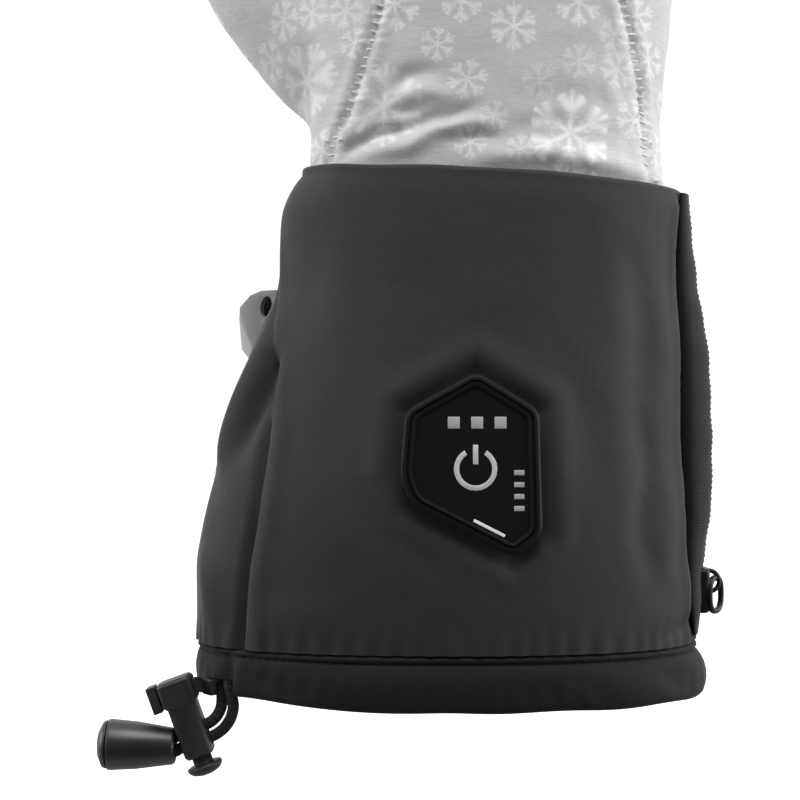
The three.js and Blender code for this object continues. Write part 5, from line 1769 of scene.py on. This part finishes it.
    def ring(self) -> bpy.types.Object:
        """The pull ring, hanging a quarter turned in its bow."""
        low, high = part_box("zip_puller")
        middle = (low + high) / 2 / MM
        middle.z = self.ring_top - self.ring_size[1] / 2
        _, tangent, out = FORM.frame((self.FRONT + self.BACK) / 2, self.slider_rise)
        across = tangent * math.cos(self.ring_turn) + out * math.sin(self.ring_turn)
        line = []
        for angle in np.linspace(0, 2 * math.pi, 48, endpoint=False):
            c, s = math.cos(angle), math.sin(angle)
            east = 0.5 * (self.ring_size[0] - self.ring_wire) * math.copysign(abs(c) ** 0.75, c)
            up = 0.5 * (self.ring_size[1] - self.ring_wire) * math.copysign(abs(s) ** 0.75, s)
            line.append(tuple(middle + across * east + Vector((0, 0, up))))
        return self.wire("slider_ring", np.array(line), self.ring_wire, True)

    def build(self) -> list[bpy.types.Object]:
        """The zip's parts, with the ring on its own body."""
        metal = self.finishes.metal
        return [
            Bench.dress(self.tape(), self.finishes.zip_cloth, "zip_cloth", "zip_tape"),
            self.teeth(),
            Bench.dress(self.slider(), metal, "dark_metal", "zip_slider"),
            Bench.dress(self.bail(), metal, "dark_metal"),
            Bench.dress(self.ring(), metal, "dark_metal", "zip_puller", body="puller"),
        ]


@dataclass
class WristBuckle:
    """The grey buckle that clips the pair together, on its webbing loop."""

    finishes: Finishes
    lean: float = 11.0
    angle: float = math.pi - 0.7
    rise: float = 99.5
    width: float = 17.5
    height: float = 20.0
    thick: float = 4.0
    bar: float = 3.0
    webbing_thick: float = 1.3
    end_size: Triple = (16.0, 1.3, 8.4)
    reach: float = 2.2

    def build(self) -> list[bpy.types.Object]:
        """The buckle and its webbing."""
        buckle = Bench.dress(self.plate(), self.finishes.grey_plastic, "grey_plastic", "buckle")
        webbing = Bench.eased(Bench.copy_of("buckle_loop", "buckle_webbing"), 0.3, 2)
        return [
            buckle,
            Bench.dress(webbing, self.finishes.webbing, "webbing", "buckle_webbing"),
            Bench.dress(self.loose_end(), self.finishes.webbing, "webbing"),
        ]

    def place(self) -> Matrix:
        """The buckle's frame in millimetres: x to the cuff's middle, y to the palm side, z up."""
        at, _, out = FORM.frame(self.angle, self.rise)
        loop = CLEARANCE + self.webbing_thick
        stand = loop - 0.6 + (self.bar / 2 + loop) * abs(out.x) + (self.thick / 2 + loop) * abs(out.y)
        return Matrix.Translation(at + out * stand) @ Matrix.Rotation(-math.radians(self.lean), 4, "Z")

    def plate(self) -> bpy.types.Object:
        """The buckle's plate: its outline extruded, with eye, slot and slanted corner cut, then rounded."""
        far, half, side = self.width - self.bar / 2 + self.reach, self.height / 2, self.bar / 2
        outline = (
            (side, 0.85 * half),
            (side - 1.5, half),
            (-0.62 * far, 0.95 * half),
            (-0.8 * far, 0.82 * half),
            (-0.97 * far, 0.48 * half),
            (-far, -0.72 * half),
            (-0.86 * far, -half),
            (side - 1.5, -half),
            (side, -0.85 * half),
        )
        Bench.rest()
        bpy.ops.mesh.primitive_circle_add(vertices=len(outline), radius=1, fill_type="NGON")
        piece = Bench.named("grey_buckle")
        Bench.put(piece, np.array([(x, -self.thick / 2, z) for x, z in outline]))
        Bench.edit(piece)
        bpy.ops.mesh.extrude_region_move(TRANSFORM_OT_translate={"value": (0, self.thick, 0)})
        bpy.ops.mesh.select_all(action="SELECT")
        bpy.ops.mesh.normals_make_consistent(inside=False)
        Bench.rest()
        eye = Matrix.Translation((self.reach - 0.665 * far, 0, 0.5 * half)) @ Matrix.Rotation(0.2, 4, "Y")
        Bench.cut(piece, eye, (0.18 * far, 3 * self.thick, 0.6 * half), 32)
        loop = self.bar / 2 + self.webbing_thick + 2 * CLEARANCE
        slot = Matrix.Translation((-(side + loop) / 2, 0, 0))
        Bench.cut(piece, slot, (loop - side, 3 * self.thick, 11.6))
        low = Vector((4.2 - far, -self.thick / 2, -0.67 * half))
        high = Vector((0.8 - far, -self.thick / 2, 0.04 * half))
        down = (low - high).normalized()
        facing = Vector((down.z, -1.0, -down.x)).normalized()
        turn = Matrix((facing.cross(down), facing, down)).transposed().to_4x4()
        slant = Matrix.Translation((low + high) / 2 + facing * 4) @ turn
        Bench.cut(piece, slant, (20.0, 8.0, 3 * self.height))
        sharp = math.radians(22)
        Bench.modify(piece, "BEVEL", width=0.55, segments=4, limit_method="ANGLE", angle_limit=sharp)
        Bench.put(piece, Bench.points(piece) * MM)
        piece.data.transform(Drawcord.metres(self.place()))
        return Bench.smooth(piece, 35.0)

    def loose_end(self) -> bpy.types.Object:
        """The webbing's loose end, which lies against the buckle's back behind its eye."""
        low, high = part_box("buckle")
        Bench.rest()
        bpy.ops.mesh.primitive_cube_add(size=1)
        piece = Bench.named("webbing_end")
        length, thick, width = self.end_size
        level = (low.z + high.z) / 2 / MM
        middle = Vector((low.x / MM + 1.4 + length / 2, high.y / MM + 0.4, level + 4.8))
        turn = Matrix.Rotation(-math.radians(self.lean), 4, "Z")
        size = Matrix.Diagonal((length, thick, width, 1))
        piece.data.transform(Matrix.Diagonal((MM, MM, MM, 1)) @ Matrix.Translation(middle) @ turn @ size)
        return Bench.eased(piece, 0.4, 3)


@dataclass
class Drawcord:
    """The hem's two cord ends, the cord lock that they run through and the bell that joins them."""

    finishes: Finishes
    diameter: float = 3.0
    side: float = -66.6
    front: float = -22.5
    rise: float = -8.8
    lean: float = 20.0
    barrel_width: float = 7.8
    bell_length: float = 18.8
    bell_longer: float = 1.065
    bell_wider: float = 1.09
    bell_ahead: float = 0.5
    bell_floor: float = 14.2
    notch_top: float = 6.0

    @property
    def step(self) -> float:
        """Each strand's distance from the line between them."""
        return (self.diameter + 1.5 * CLEARANCE) / 2

    def lock_frame(self) -> Matrix:
        """The lock's frame in millimetres: z runs up its barrel."""
        at = Matrix.Translation((self.side, self.front, self.rise))
        return at @ Matrix.Rotation(-math.radians(self.lean), 4, "Y")

    def bell_frame(self) -> Matrix:
        """The bell's frame in millimetres: z runs from its mouth to its cap."""
        middle = self.lock_frame() @ Vector((-self.barrel_width / 2 - 2.2, 0, -0.6))
        return Matrix.Translation(middle) @ Matrix.Rotation(math.radians(-88.5), 4, "Y")

    @staticmethod
    def metres(frame: Matrix) -> Matrix:
        """A frame in millimetres for meshes in metres."""
        moved = frame.copy()
        moved.translation = frame.translation * MM
        return moved

    def route(self, side: int, turn: float) -> list[Vector]:
        """One strand's line, from the hem through the lock into the bell, in millimetres.

        Args:
            side: -1 for the front strand and 1 for the rear one.
            turn: the radius of its bend below the hem.

        Returns:
            Its points.
        """
        hem = HemBand(self.finishes)
        at, tangent, out = FORM.frame(hem.cord_angle, 0.0)
        aside = -side * 1.7
        start = at - out * (hem.wall / 2) + tangent * aside
        start.z = self.notch_top - CLEARANCE
        lock, bell = self.lock_frame(), self.bell_frame()
        enter = lock @ Vector((self.barrel_width / 2, 0, side * self.step))
        leave = lock @ Vector((-self.barrel_width / 2, 0, side * self.step))
        depths = (-0.2, 2.6, 6.5, 10.4, self.bell_floor)
        ends = [bell @ Vector((side * self.step, 0, along)) for along in depths]
        quarter = math.radians(90 - self.lean)
        centre = enter.x + turn * (1 - math.cos(quarter)) - turn
        level = enter.z + turn * math.sin(quarter)
        arc = []
        for share in np.arange(0, 1, 0.1):
            angle = share * quarter
            ease = min(max(share / 0.9, 0), 1)
            ease = ease * ease * (3 - 2 * ease)
            y = start.y + (self.front - start.y) * ease
            arc.append(Vector((centre + turn * math.cos(angle), y, level - turn * math.sin(angle))))
        below = start - Vector((0, 0, self.diameter / 2))
        middle = (enter + leave) / 2
        return [start, below, *arc, enter, middle, leave, *ends]

    @staticmethod
    def eased_line(points: list[Vector], step: float = 0.6) -> np.ndarray:
        """A line with evenly spaced points, its corners rounded a little."""
        line = np.array([tuple(p) for p in points])
        for _ in range(3):
            gone = np.concatenate([[0], np.cumsum(np.linalg.norm(np.diff(line, axis=0), axis=1))])
            want = np.linspace(0, gone[-1], max(8, round(gone[-1] / step)) + 1)
            line = np.stack([np.interp(want, gone, line[:, i]) for i in range(3)], axis=-1)
            line[1:-1] = 0.25 * line[:-2] + 0.5 * line[1:-1] + 0.25 * line[2:]
        return line

    def strand(self, name: str, node: str, side: int, turn: float) -> tuple[bpy.types.Object, np.ndarray]:
        """One strand as a tube that carries its length and its angle for the braid."""
        line = self.eased_line(self.route(side, turn))
        ahead = np.gradient(line, axis=0)
        ahead /= np.linalg.norm(ahead, axis=1)[:, None]
        north = np.array([0.0, 1.0, 0.0])
        east = np.cross(ahead, north)
        east /= np.linalg.norm(east, axis=1)[:, None]
        north = np.cross(east, ahead)
        around = 20
        angles = np.linspace(0, 2 * math.pi, around, endpoint=False)
        circle = np.cos(angles)[None, :, None] * east[:, None]
        circle = circle + np.sin(angles)[None, :, None] * north[:, None]
        piece = Bench.smooth(Bench.loft(name, line[:, None] + circle * self.diameter / 2, False), 60.0)
        points = Bench.points(piece) / MM
        gone = np.concatenate([[0], np.cumsum(np.linalg.norm(np.diff(line, axis=0), axis=1))])
        nearest = np.array([int(np.argmin(np.sum((line - p) ** 2, axis=1))) for p in points])
        away = points - line[nearest]
        Bench.carry(piece, "cord_along", gone[nearest] + np.sum(away * ahead[nearest], axis=1))
        Bench.carry(piece, "cord_east", np.sum(away * east[nearest], axis=1))
        Bench.carry(piece, "cord_north", np.sum(away * north[nearest], axis=1))
        return Bench.dress(piece, self.finishes.cord, "cord", node), line

    def stretch(self, piece: bpy.types.Object) -> None:
        """Resizes a part of the cord end along and across its own axis, about the cap, and moves it ahead."""
        frame = self.metres(self.bell_frame())
        hold = Matrix.Translation((0, 0, self.bell_length * MM))
        size = Matrix.Diagonal((self.bell_wider, self.bell_wider, self.bell_longer, 1))
        slide = Matrix.Translation((0, 0, self.bell_ahead * MM))
        piece.data.transform(frame @ slide @ hold @ size @ hold.inverted() @ frame.inverted())

    def build(self) -> list[bpy.types.Object]:
        """The cords and every piece on them."""
        plastic, satin = self.finishes.black_plastic, self.finishes.bell_plastic
        made = []
        for name, node, width, segments, finish, rides in (
            ("lock_barrel", "cord_lock_body", 1.0, 4, plastic, "glove"),
            ("lock_tether", "cord_lock_tether", 0.5, 3, plastic, "glove"),
            ("lock_plunger", "cord_lock_plunger", 0.3, 2, plastic, "plunger"),
            ("bell", "cord_end_bell", 0.3, 2, satin, "glove"),
            ("bell_cap", "cord_end_plug", 0.3, 2, satin, "glove"),
        ):
            piece = Bench.eased(Bench.copy_of(name, node), width, segments)
            made.append(Bench.dress(piece, finish, "black_plastic", node, body=rides))
        body, tether, plunger, bell, plug = made
        for piece in (bell, plug):
            self.stretch(piece)
        for name, node, side, turn in (
            ("cord_front", "draw_cord_front", -1, 9.15),
            ("cord_rear", "draw_cord_rear", 1, 6.05),
        ):
            piece, line = self.strand(name, node, side, turn)
            tuple(line[0] * MM)
            [tuple(p * MM) for p in line]
            made.append(piece)
        return made


@dataclass
class Studio:
    """A pale floor, a white surround, soft lights and the picture's camera."""

    eye: Triple = (-13.5, -500.0, 77.8)
    lens: float = 83.3
    floor_level: float = -75.0
    front_level: float = 0.14
    side_level: float = 1.05
    below_level: float = 0.45
    lamp_size: float = 0.9
    lamps: tuple[tuple[str, Triple, float], ...] = (
        ("left_light", (-1.45, -0.1, 0.45), 10.5),
        ("right_light", (1.45, -0.05, 0.4), 17.0),
        ("top_light", (0.0, -0.75, 1.4), 12.0),
    )

    def camera(self) -> None:
        """The camera, looking level along +Y."""
        made = bpy.data.objects.new("camera", bpy.data.cameras.new("camera"))
        bpy.context.scene.collection.objects.link(made)
        made.location = Vector(self.eye) * MM
        made.rotation_euler = (math.radians(90), 0, 0)
        made.data.lens = self.lens
        made.data.sensor_width = 36.0
        made.data.clip_start = 0.01
        made.data.clip_end = 50.0
        bpy.context.scene.camera = made

    def lamp(self, name: str, at: Triple, power: float) -> None:
        """One soft area light that looks at the glove."""
        data = bpy.data.lights.new(name, "AREA")
        data.shape = "DISK"
        data.size = self.lamp_size
        data.energy = power
        made = bpy.data.objects.new(name, data)
        bpy.context.scene.collection.objects.link(made)
        made.location = at
        made.rotation_euler = (Vector((0, 0, 0.1)) - Vector(at)).to_track_quat("-Z", "Y").to_euler()

    def floor(self) -> None:
        """A plain pale floor, well below the glove."""
        Bench.rest()
        low = (0, 0, self.floor_level * MM)
        bpy.ops.mesh.primitive_circle_add(vertices=96, radius=6.0, fill_type="NGON", location=low)
        piece = bpy.context.object
        piece.name = "studio_floor"
        sheet = Sheet.named("studio_floor")
        cloud = sheet.grain(sheet.place(1.0), 3.0, 2.0)
        tone = sheet.shaded((0.88, 0.88, 0.88), (cloud - 0.5) * 0.02 + 1.0)
        piece.data.materials.append(
            sheet.finish(Base_Color=tone, Roughness=0.9, Emission_Color=(1, 1, 1, 1), Emission_Strength=0.3)
        )
        piece.visible_diffuse = False
        piece.visible_glossy = False

    def build(self) -> None:
        """The whole studio."""
        scene = bpy.context.scene
        scene.view_settings.view_transform = "Standard"
        world = bpy.data.worlds.new("surround")
        scene.world = world
        sheet = Sheet(world)
        way = sheet.node("ShaderNodeTexCoord", {}, {})["Generated"]
        ahead = sheet.vector("DOT_PRODUCT", way, (0.0, -1.0, 0.0))
        above = sheet.parts(way)[2].within(-0.35, 0.35, self.below_level, 1.0)
        soft = ahead.within(0.2, 0.95, self.side_level, self.front_level) * above
        seen = sheet.node("ShaderNodeLightPath", {}, {})["Is Camera Ray"]
        level = sheet.node("ShaderNodeMix", {}, {0: seen, 2: soft, 3: 1.05})[0]
        made = sheet.node("ShaderNodeBackground", {}, {"Color": (1, 1, 1, 1), "Strength": level})
        sheet.node("ShaderNodeOutputWorld", {}, {"Surface": made["Background"]})
        self.floor()
        self.camera()
        for name, at, power in self.lamps:
            self.lamp(name, at, power)


def main() -> None:
    """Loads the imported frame, then builds and dresses every piece in order."""
    logging.basicConfig(level=logging.INFO, format="%(name)s: %(message)s")
    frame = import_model()
    Bench.nodes = frame["nodes"]
    Studio().build()
    finishes = Finishes()
    for part in (Drawcord, ControlUnit, BatteryZip, WristBuckle, Cuff, HemBand, HandShell):
        for piece in part(finishes).build():
            log.info("%s: %d faces", piece.name, len(piece.data.polygons))
    Bench.rest()


if __name__ == "__main__":
    main()
